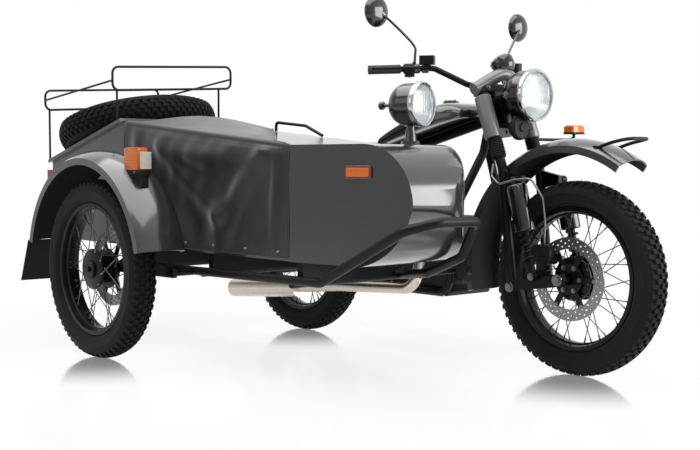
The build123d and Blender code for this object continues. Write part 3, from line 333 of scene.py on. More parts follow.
def make_materials(look):
    """Every finish of the machine, by its plain name."""
    body_code = look.body_colour_code
    no_grain = (1.0, 1.0, 1.0)
    MADE.update({
        "body": enamel("satin_enamel_body", body_code, 0.22, 0.8),
        "sidecar_guard": fender_enamel_with_painted_shade("enamelled_sidecar_fender", body_code, 0.26, 1.0, SIDECAR_AXLE),
        "front_guard": fender_enamel_with_painted_shade("enamelled_front_fender", body_code, 0.26, 1.0, FRONT_AXLE),
        "sleeve": enamel("enamelled_fork_cover", "#6f7074", 0.30, 0.4),
        "tank": enamel("gloss_enamel_tank", "#2b2c2f", 0.18, 0.8),
        "gloss_black": enamel("gloss_enamel_black", "#0d0d0e", 0.16, 0.7),
        "frame": powder_coat("powder_coat_frame", "#0b0b0c", 0.40),
        "wheel": powder_coat("powder_coat_wheel", "#0e0e0f", 0.30),
        "spoke": rolled_steel("drawn_steel_spokes", "#58585a", 0.34, no_grain),
        "engine": cast_aluminium("painted_cast_aluminium", "#1c1c1e", 0.50, 0.2),
        "stainless": rolled_steel("stainless_pipe", "#d6ccc2", 0.27, (0.15, 1.0, 1.0)),
        "disc": rolled_steel("ground_brake_steel", "#8f8d8a", 0.32, (1.0, 0.2, 1.0)),
        "zinc": rolled_steel("zinc_plated_steel", "#868784", 0.38, no_grain),
        "chrome": chromed("chrome_plate"),
        "mirror": mirror_glass("silvered_glass"),
        "bowl": aluminised("aluminised_reflector"),
        "glass": lamp_glass("pressed_lamp_glass"),
        "amber": acrylic("amber_acrylic", "#e8720c", 6.0),
        "deep_amber": acrylic("deep_amber_acrylic", "#7c3f14", 6.0),
        "clear": acrylic("clear_acrylic", "#d9d4cc", 6.0),
        "grip": moulded_rubber("moulded_grip", "#3a3a3c"),
        "red": acrylic("red_acrylic", "#7d1414", 6.0),
        "tyre": tyre_rubber("tyre_rubber"),
        "rubber": moulded_rubber("moulded_rubber"),
        "canvas": coated_canvas("coated_canvas"),
        "seat": seat_vinyl("leather_grained_vinyl"),
        "dial": dial_face("printed_dial"),
        "hose": rolled_steel("braided_hose", "#8c8a88", 0.4, no_grain),
        "bulb": mirror_glass("frosted_bulb"),
    })


NODE_FINISH = {
    "body": ("sidecar_tub", "sidecar_boot", "boot_lid"),
    "sidecar_guard": ("sidecar_fender",),
    "front_guard": ("front_fender",),
    "tank": ("fuel_tank",),
    "frame": ("motorcycle_frame", "sidecar_frame", "swing_arm", "sidecar_swing_arm", "handlebar",
              "rear_fender", "fender_loop", "footrests", "shock_absorbers", "front_shocks", "grab_rail",
              "luggage_rack", "fork", "hand_controls"),
    "wheel": ("front_rim", "rear_rim", "sidecar_rim", "spare_rim"),
    "engine": ("engine_block", "cylinders", "front_caliper"),
    "stainless": ("exhaust_system",),
    "disc": ("front_brake_disc", "rear_brake_disc", "sidecar_brake_disc"),
    "gloss_black": ("headlamp_shell", "searchlight_shell", "mirrors", "tank_cap", "dials"),
    "glass": ("headlamp_lens", "searchlight_lens"),
    "amber": ("amber_lenses", "left_indicator"),
    "red": ("rear_lamps",),
    "tyre": ("front_tyre", "rear_tyre", "sidecar_tyre", "spare_tyre"),
    "grip": ("grips",),
    "rubber": ("mudflap", "marker_lamp_base"),
    "hose": ("brake_hose",),
    "canvas": ("tonneau_cover",),
    "seat": ("saddles",),
}


# ---- mesh tools ----------------------------------------------------------------------------
class Form:
    """Vertices and faces of one piece, gathered from simple shapes, with a finish for each face."""

    def __init__(self, place=None):
        self.verts, self.faces, self.marks, self.finishes = [], [], [], []
        self.place = place or Matrix.Identity(4)

    def add(self, verts, faces, finish):
        """Take in vertices and faces, all of one finish."""
        start = len(self.verts)
        if finish not in self.finishes:
            self.finishes.append(finish)
        mark = self.finishes.index(finish)
        self.verts += [self.place @ Vector(v) for v in verts]
        self.faces += [tuple(start + i for i in face) for face in faces]
        self.marks += [mark] * len(faces)

    def block(self, low, high, finish, turn=None):
        """Box between two corners, turned by a matrix if one is given."""
        (x0, y0, z0), (x1, y1, z1) = low, high
        verts = [Vector((x, y, z)) for z in (z0, z1) for y in (y0, y1) for x in (x0, x1)]
        if turn is not None:
            verts = [turn @ v for v in verts]
        faces = [(0, 2, 3, 1), (4, 5, 7, 6), (0, 1, 5, 4), (2, 6, 7, 3), (0, 4, 6, 2), (1, 3, 7, 5)]
        self.add(verts, faces, finish)

    def spin(self, profile, steps, finish, base=None, closed=True, start=0.0, turn=math.tau):
        """Profile of (radius, height) turned round a local Z axis."""
        base = base or Matrix.Identity(4)
        whole = abs(turn - math.tau) < 1e-6
        rings = steps if whole else steps + 1
        verts = []
        for k in range(rings):
            a = start + turn * k / steps
            verts += [base @ Vector((r * math.cos(a), r * math.sin(a), h)) for r, h in profile]
        n = len(profile)
        faces = []
        for k in range(steps):
            here, there = k * n, ((k + 1) % rings) * n
            for i in range(n if closed else n - 1):
                j = (i + 1) % n
                faces.append((here + i, there + i, there + j, here + j))
        self.add(verts, faces, finish)

    def rod(self, a, b, radius, finish, sides=12, end_radius=None):
        """Round bar or cone from a to b, closed at both ends."""
        a, b = Vector(a), Vector(b)
        end_radius = radius if end_radius is None else end_radius
        base = pointed(a, b - a)
        length = (b - a).length
        profile = [(0.0, 0.0), (radius, 0.0), (end_radius, length), (0.0, length)]
        self.spin(profile, sides, finish, base, closed=False)

    def tube(self, points, radius, finish, sides=10, closed=False):
        """Round tube along a line of points."""
        points = [Vector(p) for p in points]
        verts, faces = [], []
        count = len(points)
        side = None
        for k, p in enumerate(points):
            before = points[k - 1] if k or closed else p
            after = points[(k + 1) % count] if k < count - 1 or closed else p
            along = (after - before).normalized()
            if side is None:
                side = along.orthogonal().normalized()
            side = (side - along * side.dot(along)).normalized()
            other = along.cross(side)
            for i in range(sides):
                a = math.tau * i / sides
                verts.append(p + (side * math.cos(a) + other * math.sin(a)) * radius)
        for k in range(count if closed else count - 1):
            here, there = k * sides, ((k + 1) % count) * sides
            for i in range(sides):
                j = (i + 1) % sides
                faces.append((here + i, here + j, there + j, there + i))
        if not closed:
            faces.append(tuple(reversed(range(sides))))
            faces.append(tuple((count - 1) * sides + i for i in range(sides)))
        self.add(verts, faces, finish)

    def slab(self, outline, low, high, finish, base=None):
        """Flat outline in local XY drawn out from one height to another."""
        base = base or Matrix.Identity(4)
        n = len(outline)
        verts = [base @ Vector((u, v, h)) for h in (low, high) for u, v in outline]
        faces = [tuple(reversed(range(n))), tuple(range(n, 2 * n))]
        faces += [(i, (i + 1) % n, n + (i + 1) % n, n + i) for i in range(n)]
        self.add(verts, faces, finish)

    def bolt(self, at, direction, radius, height, finish="zinc"):
        """Hexagon head with a washer."""
        at, direction = Vector(at), Vector(direction).normalized()
        self.rod(at, at + direction * height * 0.3, radius * 1.45, finish, 16)
        self.rod(at, at + direction * height, radius, finish, 6)

    def piece(self, name, body, slot=None, replaces=(), bevel=0.0, sharp=35.0):
        """Finished object that rides on a body."""
        mesh = bpy.data.meshes.new(name)
        mesh.from_pydata(self.verts, [], self.faces)
        for finish in self.finishes:
            mesh.materials.append(MADE[finish])
        mesh.polygons.foreach_set("material_index", self.marks)
        return place_mesh(name, mesh, body, replaces, bevel, sharp)


def place_mesh(name, mesh, body, replaces=(), bevel=0.0, sharp=35.0):
    """Clean a mesh, round its edges a little and make it ride on a body."""
    work = bmesh.new()
    work.from_mesh(mesh)
    bmesh.ops.remove_doubles(work, verts=work.verts, dist=1e-6)
    bmesh.ops.recalc_face_normals(work, faces=work.faces)
    for face in work.faces:
        face.smooth = True
    limit = math.radians(sharp)
    for edge in work.edges:
        if len(edge.link_faces) == 2 and edge.calc_face_angle(0.0) > limit:
            edge.smooth = False
    work.to_mesh(mesh)
    work.free()
    piece = bpy.data.objects.new(name, mesh)
    bpy.context.scene.collection.objects.link(piece)
    if bevel:
        rounding = piece.modifiers.new("rounding", "BEVEL")
        rounding.width = bevel * MM
        rounding.segments = 2
        rounding.limit_method = "ANGLE"
    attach(piece, body)
    if replaces:
        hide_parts(*replaces)
    return piece


def smooth_line(points, steps=8):
    """Points of a smooth curve through the given ones (Catmull-Rom)."""
    points = [Vector(p) for p in points]
    ends = [points[0] * 2 - points[1], *points, points[-1] * 2 - points[-2]]
    line = []
    for k in range(1, len(ends) - 2):
        a, b, c, d = ends[k - 1:k + 3]
        for i in range(steps):
            t = i / steps
            line.append(0.5 * ((2 * b) + (c - a) * t + (2 * a - 5 * b + 4 * c - d) * t * t
                               + (3 * b - a - 3 * c + d) * t * t * t))
    line.append(points[-1])
    return line


def rounded_box(half_u, half_v, radius, steps=5):
    """Outline of a rectangle with round corners about its middle."""
    outline = []
    for su, sv, first in ((1, 1, 0), (-1, 1, 90), (-1, -1, 180), (1, -1, 270)):
        for k in range(steps + 1):
            a = math.radians(first + 90 * k / steps)
            outline.append((su * (half_u - radius) + radius * math.cos(a),
                            sv * (half_v - radius) + radius * math.sin(a)))
    return outline


def pointed(at, along):
    """Matrix that stands a form made round local Z at a point, along a direction."""
    return Matrix.Translation(at) @ along.to_track_quat("Z", "Y").to_matrix().to_4x4()


def axes(origin, u, v):
    """Matrix of a place with two of its directions."""
    u, v = Vector(u).normalized(), Vector(v).normalized()
    w = u.cross(v)
    return Matrix.Translation(origin) @ Matrix((u, v, w)).transposed().to_4x4()


def across_y(centre):
    """Matrix that lays a form made round local Z on an axis across the vehicle."""
    return Matrix.Translation(centre) @ Matrix.Rotation(math.radians(90), 4, "X")


# ---- wheels --------------------------------------------------------------------------------
SPARE_TURN = Matrix.Rotation(math.radians(-15.0), 4, "Y")    # the lid slopes by this much
WHEELS = {
    # name: (body, place)
    "front": ("front_wheel", across_y(FRONT_AXLE)),
    "rear": ("rear_wheel", across_y(REAR_AXLE)),
    "sidecar": ("sidecar_wheel", across_y(SIDECAR_AXLE)),
    "spare": ("boot_lid", Matrix.Translation(middle("spare_tyre")) @ SPARE_TURN),
}
BEAD_R = 0.242
RIM_HALF = 0.039
RIM_LIP_R = 0.254
CARCASS_R, CROWN_DROP, CROWN_HALF = 0.3375, 0.013, 0.045
TREAD_HEIGHT = 0.0075
TREAD_ROWS = (
    # middle of the row across the tyre, half width, share of the pitch, stagger, lean in degrees
    (0.0, 0.0085, 0.60, 0.0, 0.0),
    (0.0195, 0.0075, 0.58, 0.5, 12.0),
    (-0.0195, 0.0075, 0.58, 0.5, -12.0),
    (0.0375, 0.0080, 0.52, 0.0, 24.0),
    (-0.0375, 0.0080, 0.52, 0.0, -24.0),
)
SPOKES_PER_ROW = 9
FLANGE_R, FLANGE_Y = 0.072, 0.030          # where the spokes hook into the hub


def crown_height(y):
    """Radius of the tyre's carcass under the tread, at a distance from its middle."""
    return CARCASS_R - CROWN_DROP * (y / CROWN_HALF) ** 2


def tyre_form(place, look):
    """Carcass with ribbed sidewalls, and rows of tread blocks set round it."""
    form = Form(place)
    wall = [  # radius and distance from the middle, bead to shoulder
        (BEAD_R + 0.001, 0.0335), (0.256, 0.0345), (0.262, 0.0445), (0.268, 0.0495), (0.2705, 0.0515),
        (0.273, 0.0505), (0.290, 0.0545), (0.300, 0.0540), (0.302, 0.0550), (0.304, 0.0540),
        (0.314, 0.0520), (0.3235, 0.0460)]
    crown = [(crown_height(y), y) for y in (0.034, 0.02, 0.0, -0.02, -0.034)]
    profile = wall + crown + [(r, -h) for r, h in reversed(wall)]
    form.spin(profile, 96, "tyre")
    count = look.tread_pitches
    pitch = math.tau / count
    for across, half, share, stagger, lean in TREAD_ROWS:
        for k in range(count):
            middle_angle = (k + stagger) * pitch
            verts = []
            for top, shrink in ((0, 1.12), (1, 0.88)):
                for along, side in ((-1, -1), (1, -1), (1, 1), (-1, 1)):
                    y = across + side * half * shrink
                    skew = math.radians(lean) * (y - across) / TYRE_R
                    a = middle_angle + along * pitch * share / 2 * shrink + skew
                    r = crown_height(y) - 0.001
                    if top:
                        r = min(TYRE_R - 0.0003, crown_height(y) + TREAD_HEIGHT)
                    verts.append((r * math.cos(a), r * math.sin(a), y))
            faces = [(4, 5, 6, 7), (0, 1, 5, 4), (1, 2, 6, 5), (2, 3, 7, 6), (3, 0, 4, 7)]
            form.add(verts, faces, "tyre")
    return form


def rim_form(place, look):
    """Channel rim, finned hub, and laced spokes with their nipples."""
    form = Form(place)
    lip = RIM_LIP_R
    channel = [(lip - 0.001, RIM_HALF), (lip, RIM_HALF - 0.002), (lip - 0.001, RIM_HALF - 0.004),
               (BEAD_R, RIM_HALF - 0.005), (BEAD_R - 0.002, 0.018), (BEAD_R - 0.009, 0.014),
               (BEAD_R - 0.009, -0.014), (BEAD_R - 0.002, -0.018), (BEAD_R, 0.005 - RIM_HALF),
               (lip - 0.001, 0.004 - RIM_HALF), (lip, 0.002 - RIM_HALF), (lip - 0.001, -RIM_HALF),
               (BEAD_R - 0.004, -RIM_HALF), (BEAD_R - 0.006, 0.006 - RIM_HALF), (BEAD_R - 0.008, -0.018),
               (BEAD_R - 0.014, -0.013), (BEAD_R - 0.014, 0.013), (BEAD_R - 0.008, 0.018),
               (BEAD_R - 0.006, RIM_HALF - 0.006), (BEAD_R - 0.004, RIM_HALF)]
    form.spin(channel, 96, "wheel")
    hub = [(0.0105, -0.050), (0.030, -0.050), (0.034, -0.046), (0.034, -0.038), (0.074, -0.036),
           (0.078, -0.033), (0.078, -0.027), (0.074, -0.024), (0.050, -0.022), (0.044, -0.012), (0.042, 0.0),
           (0.044, 0.012), (0.050, 0.022), (0.074, 0.024), (0.078, 0.027), (0.078, 0.033), (0.074, 0.036),
           (0.034, 0.038), (0.034, 0.046), (0.030, 0.050), (0.0105, 0.050)]
    form.spin(hub, 48, "wheel")
    for height in (-0.015, -0.005, 0.005, 0.015):
        form.spin([(0.040, height - 0.0015), (0.056, height - 0.0012), (0.056, height + 0.0012),
                   (0.040, height + 0.0015)], 40, "wheel")
    nipple_r = BEAD_R - 0.010
    for side in (-1, 1):
        for lean in (-1, 1):
            for k in range(SPOKES_PER_ROW):
                a = (k + 0.25 * side + 0.5 * (lean > 0)) * math.tau / SPOKES_PER_ROW
                b = a + lean * math.radians(look.spoke_lean)
                start = Vector((FLANGE_R * math.cos(a), FLANGE_R * math.sin(a),
                                side * FLANGE_Y + lean * 0.004))
                end = Vector((nipple_r * math.cos(b), nipple_r * math.sin(b), side * 0.008))
                along = (end - start).normalized()
                form.rod(start, end, look.spoke_thickness * MM / 2, "spoke", 6)
                form.rod(end - along * 0.020, end, 0.0034, "zinc", 6)
                form.rod(start - along * 0.004, start + along * 0.004, 0.0034, "zinc", 6)
    return form


DISC_OUTER, DISC_INNER = 0.147, 0.106
DISC_MIDDLE_Y = 0.0525                     # from the wheel's middle to the disc's
DISC_HOLE_R = 0.0038
DISC_HOLE_RINGS = ((0.117, 24, 0.0), (0.127, 24, 0.5), (0.137, 24, 0.0))      # radius, count, stagger
CARRIER_ARMS = 6


def drilled_disc(name, centre, side, body):
    """Brake disc cut from a flat outline with real holes, and its dark carrier."""
    outline = bpy.data.curves.new(name, "CURVE")
    outline.dimensions = "2D"
    outline.fill_mode = "BOTH"
    outline.extrude = 0.0024

    def circle(x, y, radius, steps):
        spline = outline.splines.new("POLY")
        spline.points.add(steps - 1)
        for i, point in enumerate(spline.points):
            a = math.tau * i / steps
            point.co = (x + radius * math.cos(a), y + radius * math.sin(a), 0.0, 1.0)
        spline.use_cyclic_u = True

    circle(0, 0, DISC_OUTER, 120)
    circle(0, 0, DISC_INNER, 96)
    for ring, count, shift in DISC_HOLE_RINGS:
        for k in range(count):
            a = math.tau * (k + shift) / count
            circle(ring * math.cos(a), ring * math.sin(a), DISC_HOLE_R, 10)
    holder = bpy.data.objects.new(name, outline)
    bpy.context.scene.collection.objects.link(holder)
    bpy.context.view_layer.update()
    mesh = bpy.data.meshes.new_from_object(holder.evaluated_get(bpy.context.evaluated_depsgraph_get()))
    bpy.data.objects.remove(holder)
    mesh.materials.clear()
    mesh.materials.append(MADE["disc"])
    place = across_y(centre + Vector((0, side * DISC_MIDDLE_Y, 0)))
    mesh.transform(place)
    form = Form(place)
    for k in range(CARRIER_ARMS):
        turn = Matrix.Rotation(math.tau * k / CARRIER_ARMS, 4, "Z")
        form.block((0.030, -0.011, -0.0027), (0.110, 0.011, 0.0027), "wheel", turn)
        form.rod(turn @ Vector((0.107, 0, -0.0031)), turn @ Vector((0.107, 0, 0.0031)), 0.008, "zinc", 16)
        form.bolt(turn @ Vector((0.045, 0.0, -0.0035 * side)), (0, 0, -side), 0.006, 0.006)
    form.spin([(0.0185, -0.0035), (0.056, -0.0035), (0.056, 0.0035), (0.0185, 0.0035)], 48, "wheel")
    place_mesh(f"{name}_band", mesh, body)
    form.piece(f"{name}_carrier", body, "brake_steel", (name,))


def build_wheels(look):
    """All four wheels and the three brake discs."""
    for name, (body, place) in WHEELS.items():
        tyre_form(place, look).piece(f"{name}_tread", body, "tyre_rubber", (f"{name}_tyre",))
        rim_form(place, look).piece(f"{name}_laced_wheel", body, "black_wheel_paint", (f"{name}_rim",),
                                    sharp=40)
    for name, centre, side, body in (("front_brake_disc", FRONT_AXLE, -1, "front_wheel"),
                                     ("rear_brake_disc", REAR_AXLE, 1, "rear_wheel"),
                                     ("sidecar_brake_disc", SIDECAR_AXLE, 1, "sidecar_wheel")):
        drilled_disc(name, centre, side, body)


# ---- springs -------------------------------------------------------------------------------
def coil_over(form, bottom, top, radius, turns, cover=0.0):
    """Damper with a wound spring between two eyes that lie across the vehicle, and a cover if it has one."""
    along = (top - bottom).normalized()
    length = (top - bottom).length
    side = Vector((0, 1, 0))
    other = along.cross(side)
    seat_low, seat_high = 0.050, length - 0.038
    form.rod(bottom + along * 0.010, bottom + along * (length * 0.55), radius * 0.55, "frame", 20)
    form.rod(bottom + along * (length * 0.5), top - along * 0.010, 0.008, "chrome", 14)
    form.rod(bottom + along * (seat_low - 0.008), bottom + along * seat_low, radius, "frame", 28)
    form.rod(bottom + along * seat_high, top - along * 0.016, radius, "gloss_black", 28)
    if cover:
        shroud = pointed(top, -along)
        outer, inner = radius + 0.0125, radius + 0.0100
        form.spin([(inner, 0.022), (outer - 0.004, 0.018), (outer, 0.026), (outer, cover - 0.004),
                   (outer - 0.001, cover), (inner, cover)], 36, "gloss_black", shroud)
    line = []
    coil_r = radius - 0.0045
    steps = turns * 18
    for i in range(steps + 1):
        t = i / steps
        height = seat_low + 0.004 + (seat_high - seat_low - 0.008) * t
        a = math.tau * turns * t
        line.append(bottom + along * height + (side * math.cos(a) + other * math.sin(a)) * coil_r)
    form.tube(line, 0.0042, "frame", 8)
    for eye in (bottom, top):
        for bore, wall, half, finish, steps in ((0.0072, 0.0155, 0.012, "frame", 28),
                                                (0.0072, 0.0105, 0.0125, "rubber", 24)):
            ring = [(bore, -half), (wall, -half), (wall, half), (bore, half)]
            form.spin(ring, steps, finish, across_y(eye))


SHOCKS = (
    # body, radius, turns, lower and upper end as x and z in mm, y places, length of the cover
    ("chassis", 0.026, 11, (25, 405), (75, 745), (-147, 147), 0.0),
    ("steering", 0.024, 11, (1405, 352), (1322, 690), (-132, 132), 0.185),
    ("chassis", 0.020, 9, (150, 385), (52, 650), (-964,), 0.0),
)


def build_springs():
    """The five dampers with their springs."""
    rear, front = Form(), Form()
    for body, radius, turns, low, high, sides, cover in SHOCKS:
        form = front if body == "steering" else rear
        for y in sides:
            coil_over(form, spot(low[0], y, low[1]), spot(high[0], y, high[1]), radius, turns, cover)
            outward = Vector((0, math.copysign(1, y), 0))
            for x, z in (low, high):
                form.bolt(spot(x, y, z) + outward * 0.0135, outward, 0.009, 0.007)
    rear.piece("rear_and_sidecar_springs", "chassis", "black_frame_paint", ("shock_absorbers",))
    front.piece("front_springs", "steering", "black_frame_paint", ("front_shocks",))


# ---- tonneau cloth -------------------------------------------------------------------------
RIM_REAR_X, RIM_REAR_Z = -80.0, 918.0      # rear end of the cockpit's rim
RIM_FALL = (RIM_REAR_Z - 812.0) / 1080.0
CLOTH_REAR, CLOTH_FRONT = -58.0, 996.0
CLOTH_INNER_Y, CLOTH_SIDE_Y = -397.0, -899.5
CLOTH_HEM = 432.0
CLOTH_FRONT_INNER, CLOTH_FRONT_OUTER = 262.0, 886.0     # the front edge runs askew
CLOTH_LIFT = 4.5                           # cloth over the rim
SHOULDER_R = 16.0
CLOTH_ROWS = (44, 6, 84)                   # rows over the top, round the shoulder and down the side
CLOTH_COLUMNS = 120
CLOTH_PULLS = (
    # fold from (x, z) to (x, z), height, half width
    ((220.0, 800.0), (590.0, 560.0), 13.0, 42.0),
    ((860.0, 790.0), (610.0, 560.0), 15.0, 40.0),
    ((600.0, 570.0), (580.0, 450.0), 9.0, 46.0),
    ((800.0, 700.0), (650.0, 500.0), 7.0, 26.0),
    ((930.0, 800.0), (905.0, 460.0), 8.0, 24.0),
    ((40.0, 820.0), (110.0, 480.0), 6.0, 44.0),
    ((420.0, 560.0), (330.0, 450.0), 5.0, 38.0),
)


def bell(value, width):
    """Smooth hump of height 1 at zero."""
    return math.exp(-(value / width) ** 2)


def to_segment(x, z, a, b):
    """Distance from a point to a line between two points."""
    run_x, run_z = b[0] - a[0], b[1] - a[1]
    t = ((x - a[0]) * run_x + (z - a[1]) * run_z) / (run_x ** 2 + run_z ** 2)
    t = min(max(t, 0.0), 1.0)
    return math.hypot(x - a[0] - t * run_x, z - a[1] - t * run_z)


def rim_height(x):
    """Height of the cockpit's rim."""
    return RIM_REAR_Z - (x - RIM_REAR_X) * RIM_FALL


def cloth_bulge(x, z):
    """How far the cloth's side stands out: a slack roll under the rim, and pulls between the fastenings."""
    sag = 46.0 + 34.0 * bell(x - 480.0, 240.0)
    roll = 34.0 * bell(x - 470.0, 330.0) * bell(z - rim_height(x) + sag, 44.0)
    pulls = sum(high * bell(to_segment(x, z, a, b), wide) for a, b, high, wide in CLOTH_PULLS)
    ripple = 1.4 * math.sin(x / 31.0 + z / 70.0) + 1.0 * math.sin(x / 17.0 - z / 43.0) + 2.4
    return (roll + pulls + ripple) * min(1.0, (rim_height(x) - z) / 30.0)


def cloth_point(share, row, look):
    """Point of the cloth. Rows run from the inner rim over the top and down the side."""
    top_rows, arc_rows, side_rows = CLOTH_ROWS
    if row <= top_rows:
        u = row / top_rows
        y = CLOTH_INNER_Y + (CLOTH_SIDE_Y + SHOULDER_R - CLOTH_INNER_Y) * u
        front = CLOTH_FRONT_INNER + (CLOTH_FRONT_OUTER - CLOTH_FRONT_INNER) * min(u * 1.02, 1.0)
        x = CLOTH_REAR + (front - CLOTH_REAR) * share
        dome = look.cloth_dome + 16.0 * bell(x - 140.0, 150.0)
        hollow = 7.0 * bell(x - 560.0, 120.0) + 5.0 * bell(x - 20.0, 60.0)
        near_edge = bell(front - x, 60.0)
        gather = 3.6 * near_edge * math.sin(y / 9.5) + 2.2 * bell(front - x, 140.0) * math.sin(y / 23.0 + 1.0)
        arch = 4 * u * (1 - u) * (1 - 0.88 * bell(x - CLOTH_REAR, 60.0))
        z = rim_height(x) + CLOTH_LIFT + arch * (dome - hollow) * (1 - 0.45 * near_edge) + arch * gather
        return spot(x, y, z)
    front = CLOTH_FRONT_OUTER + (CLOTH_FRONT - CLOTH_FRONT_OUTER) * min((row - top_rows) / 3.0, 1.0)
    x = CLOTH_REAR + (front - CLOTH_REAR) * share
    high = rim_height(x) + CLOTH_LIFT
    if row <= top_rows + arc_rows:
        a = math.radians(90.0 * (row - top_rows) / arc_rows)
        return spot(x, CLOTH_SIDE_Y + SHOULDER_R * (1 - math.sin(a)), high - SHOULDER_R * (1 - math.cos(a)))
    v = (row - top_rows - arc_rows) / side_rows
    start = high - SHOULDER_R
    z = start + (CLOTH_HEM - start) * v
    return spot(x, CLOTH_SIDE_Y - cloth_bulge(x, z), z)


def build_tonneau(look):
    """Cockpit cover of coated canvas, buttoned along its edges, with its binding and studs."""
    rows = sum(CLOTH_ROWS) + 1
    width = CLOTH_COLUMNS + 1
    verts = [cloth_point(i / CLOTH_COLUMNS, row, look) for row in range(rows) for i in range(width)]
    faces = [(r * width + i, r * width + i + 1, (r + 1) * width + i + 1, (r + 1) * width + i)
             for r in range(rows - 1) for i in range(CLOTH_COLUMNS)]
    cloth_form = Form()
    cloth_form.add(verts, faces, "canvas")
    cloth = cloth_form.piece("tonneau_cloth", "chassis", "vinyl_cover", ("tonneau_cover",), sharp=180)
    thick = cloth.modifiers.new("thickness", "SOLIDIFY")
    thick.thickness = 1.2 * MM
    thick.offset = 0.0
    edge = [verts[r * width + CLOTH_COLUMNS] for r in range(0, rows, 2)]
    edge += [verts[(rows - 1) * width + i] for i in range(CLOTH_COLUMNS, -1, -3)]
    edge += [verts[r * width] for r in range(rows - 1, -1, -3)]
    binding = Form()
    binding.tube(edge, 2.6 * MM, "canvas", 8)
    studs = [cloth_point(0.5 + 0.44 * k, rows - 5, look) for k in (-1, -0.6, -0.2, 0.2, 0.6, 1)]
    for at in studs:
        binding.rod(at, at + Vector((0, -0.005, 0)), 0.006, "zinc", 16, 0.004)
    trim = binding.piece("tonneau_binding", "chassis", "vinyl_cover", sharp=60)


# ---- saddles -------------------------------------------------------------------------------
PAD_VOXEL = 0.0065
PAD_PRESSURE = 4.0
PAD_STEPS = 20
PAD_SWELL = 0.007                          # the most that a point of a pad moves
PADS = (
    # rear and front end, half width and top in mm
    (140, 505, 135, 822),
    (-290, 120, 130, 840),
)


def swell(mesh):
    """Blow a closed pad up a little with a cloth simulation, its underside kept flat."""
    piece = bpy.data.objects.new("pad_work", mesh)
    bpy.context.scene.collection.objects.link(piece)
    remesh = piece.modifiers.new("even", "REMESH")
    remesh.mode = "VOXEL"
    remesh.voxel_size = PAD_VOXEL
    bpy.context.view_layer.update()
    start = bpy.data.meshes.new_from_object(piece.evaluated_get(bpy.context.evaluated_depsgraph_get()))
    piece.modifiers.clear()
    piece.data = start
    cloth = piece.modifiers.new("pad", "CLOTH")
    cloth.settings.use_pressure = True
    cloth.settings.uniform_pressure_force = PAD_PRESSURE
    cloth.settings.effector_weights.gravity = 0.0
    for step in range(1, PAD_STEPS + 1):
        bpy.context.scene.frame_set(step)
    blown = piece.evaluated_get(bpy.context.evaluated_depsgraph_get()).data
    floor = min(v.co.z for v in start.vertices)
    moved = []
    for before, after in zip(start.vertices, blown.vertices):
        step = after.co - before.co
        if step.length > PAD_SWELL:
            step *= PAD_SWELL / step.length
        place = before.co + step
        place.z = max(place.z, floor)
        moved.append(place)
    piece.modifiers.clear()
    for vertex, place in zip(start.vertices, moved):
        vertex.co = place
    bpy.context.scene.frame_set(1)
    bpy.data.objects.remove(piece)
    return start


def build_saddles():
    """Rider's and passenger's pads, swollen between their seams, with piping round the top."""
    pads = swell(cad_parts["saddles"].data.copy())
    pads.materials.clear()
    pads.materials.append(MADE["seat"])
    piece = place_mesh("padded_saddles", pads, "chassis", ("saddles",), sharp=180)
    piping = Form()
    radius = 52
    for x0, x1, half, top in PADS:
        line = []
        for cx, cy, first in ((x1 - radius, half - radius, 0), (x0 + radius, half - radius, 90),
                              (x0 + radius, radius - half, 180), (x1 - radius, radius - half, 270)):
            for k in range(7):
                a = math.radians(first + 15 * k)
                line.append(spot(cx + (radius + 3) * math.cos(a), cy + (radius + 3) * math.sin(a), top - 16))
        piping.tube(line, 0.0028, "rubber", 8, closed=True)
    piping.piece("saddle_piping", "chassis", "seat_vinyl", sharp=60)


# ---- lamps and instruments -----------------------------------------------------------------
def ahead_of(x, y, z, turn=0.0):
    """Matrix that points a form made round local Z ahead, turned to the left by some degrees."""
    return (Matrix.Translation(spot(x, y, z)) @ Matrix.Rotation(math.radians(turn), 4, "Z")
            @ Matrix.Rotation(math.radians(90), 4, "Y"))


def round_lamp(form, place, radius, depth):
    """Bucket with a domed back, chrome rim, bowl and bulb. Sizes in metres."""
    back = []
    for k in range(13):
        a = math.radians(90 * k / 12)
        back.append((radius * 0.97 * math.sin(a), -depth + radius * (1 - math.cos(a)) * 0.9))
    back += [(radius * 0.97, -0.012), (radius * 0.90, -0.012)]
    form.spin(back, 64, "gloss_black", place, closed=False)
    rim = [(radius * r, h) for r, h in (
        (0.90, -0.010), (0.985, -0.014), (1.015, -0.010), (1.02, -0.002), (1.0, 0.005), (0.95, 0.008),
        (0.91, 0.006), (0.90, 0.0))]
    form.spin(rim, 72, "chrome", place)
    bowl = [(0.012, -depth * 0.62)] + [(radius * 0.9 * t, -depth * 0.62 * (1 - t * t) - 0.004)
                                      for t in (0.25, 0.4, 0.55, 0.7, 0.85, 1.0)]
    form.spin(bowl, 56, "bowl", place, closed=False)
    form.rod(place @ Vector((0, 0, -depth * 0.62)), place @ Vector((0, 0, -depth * 0.30)), 0.009, "zinc", 20)
    bulb = [(0.0, -depth * 0.18), (0.008, -depth * 0.20), (0.011, -depth * 0.26), (0.009, -depth * 0.31)]
    form.spin(bulb, 20, "bulb", place, closed=False)
    shade = [(0.0, -depth * 0.16), (0.017, -depth * 0.17), (0.018, -depth * 0.19)]
    form.spin(shade, 24, "chrome", place, closed=False)


def lamp_cover(name, place, radius, body):
    """Slightly domed glass in front of a round lamp."""
    form = Form()
    outer = [(0.0, 0.013)]
    outer += [(radius * 0.9 * t, 0.013 * (1 - t * t) + 0.001) for t in (0.2, 0.4, 0.6, 0.8, 1.0)]
    inner = [(r, h - 0.003) for r, h in reversed(outer)]
    form.spin(outer + inner, 64, "glass", place, closed=False)
    form.piece(name, body, "clear_glass", (name.replace("_glass", "_lens"),), sharp=60)


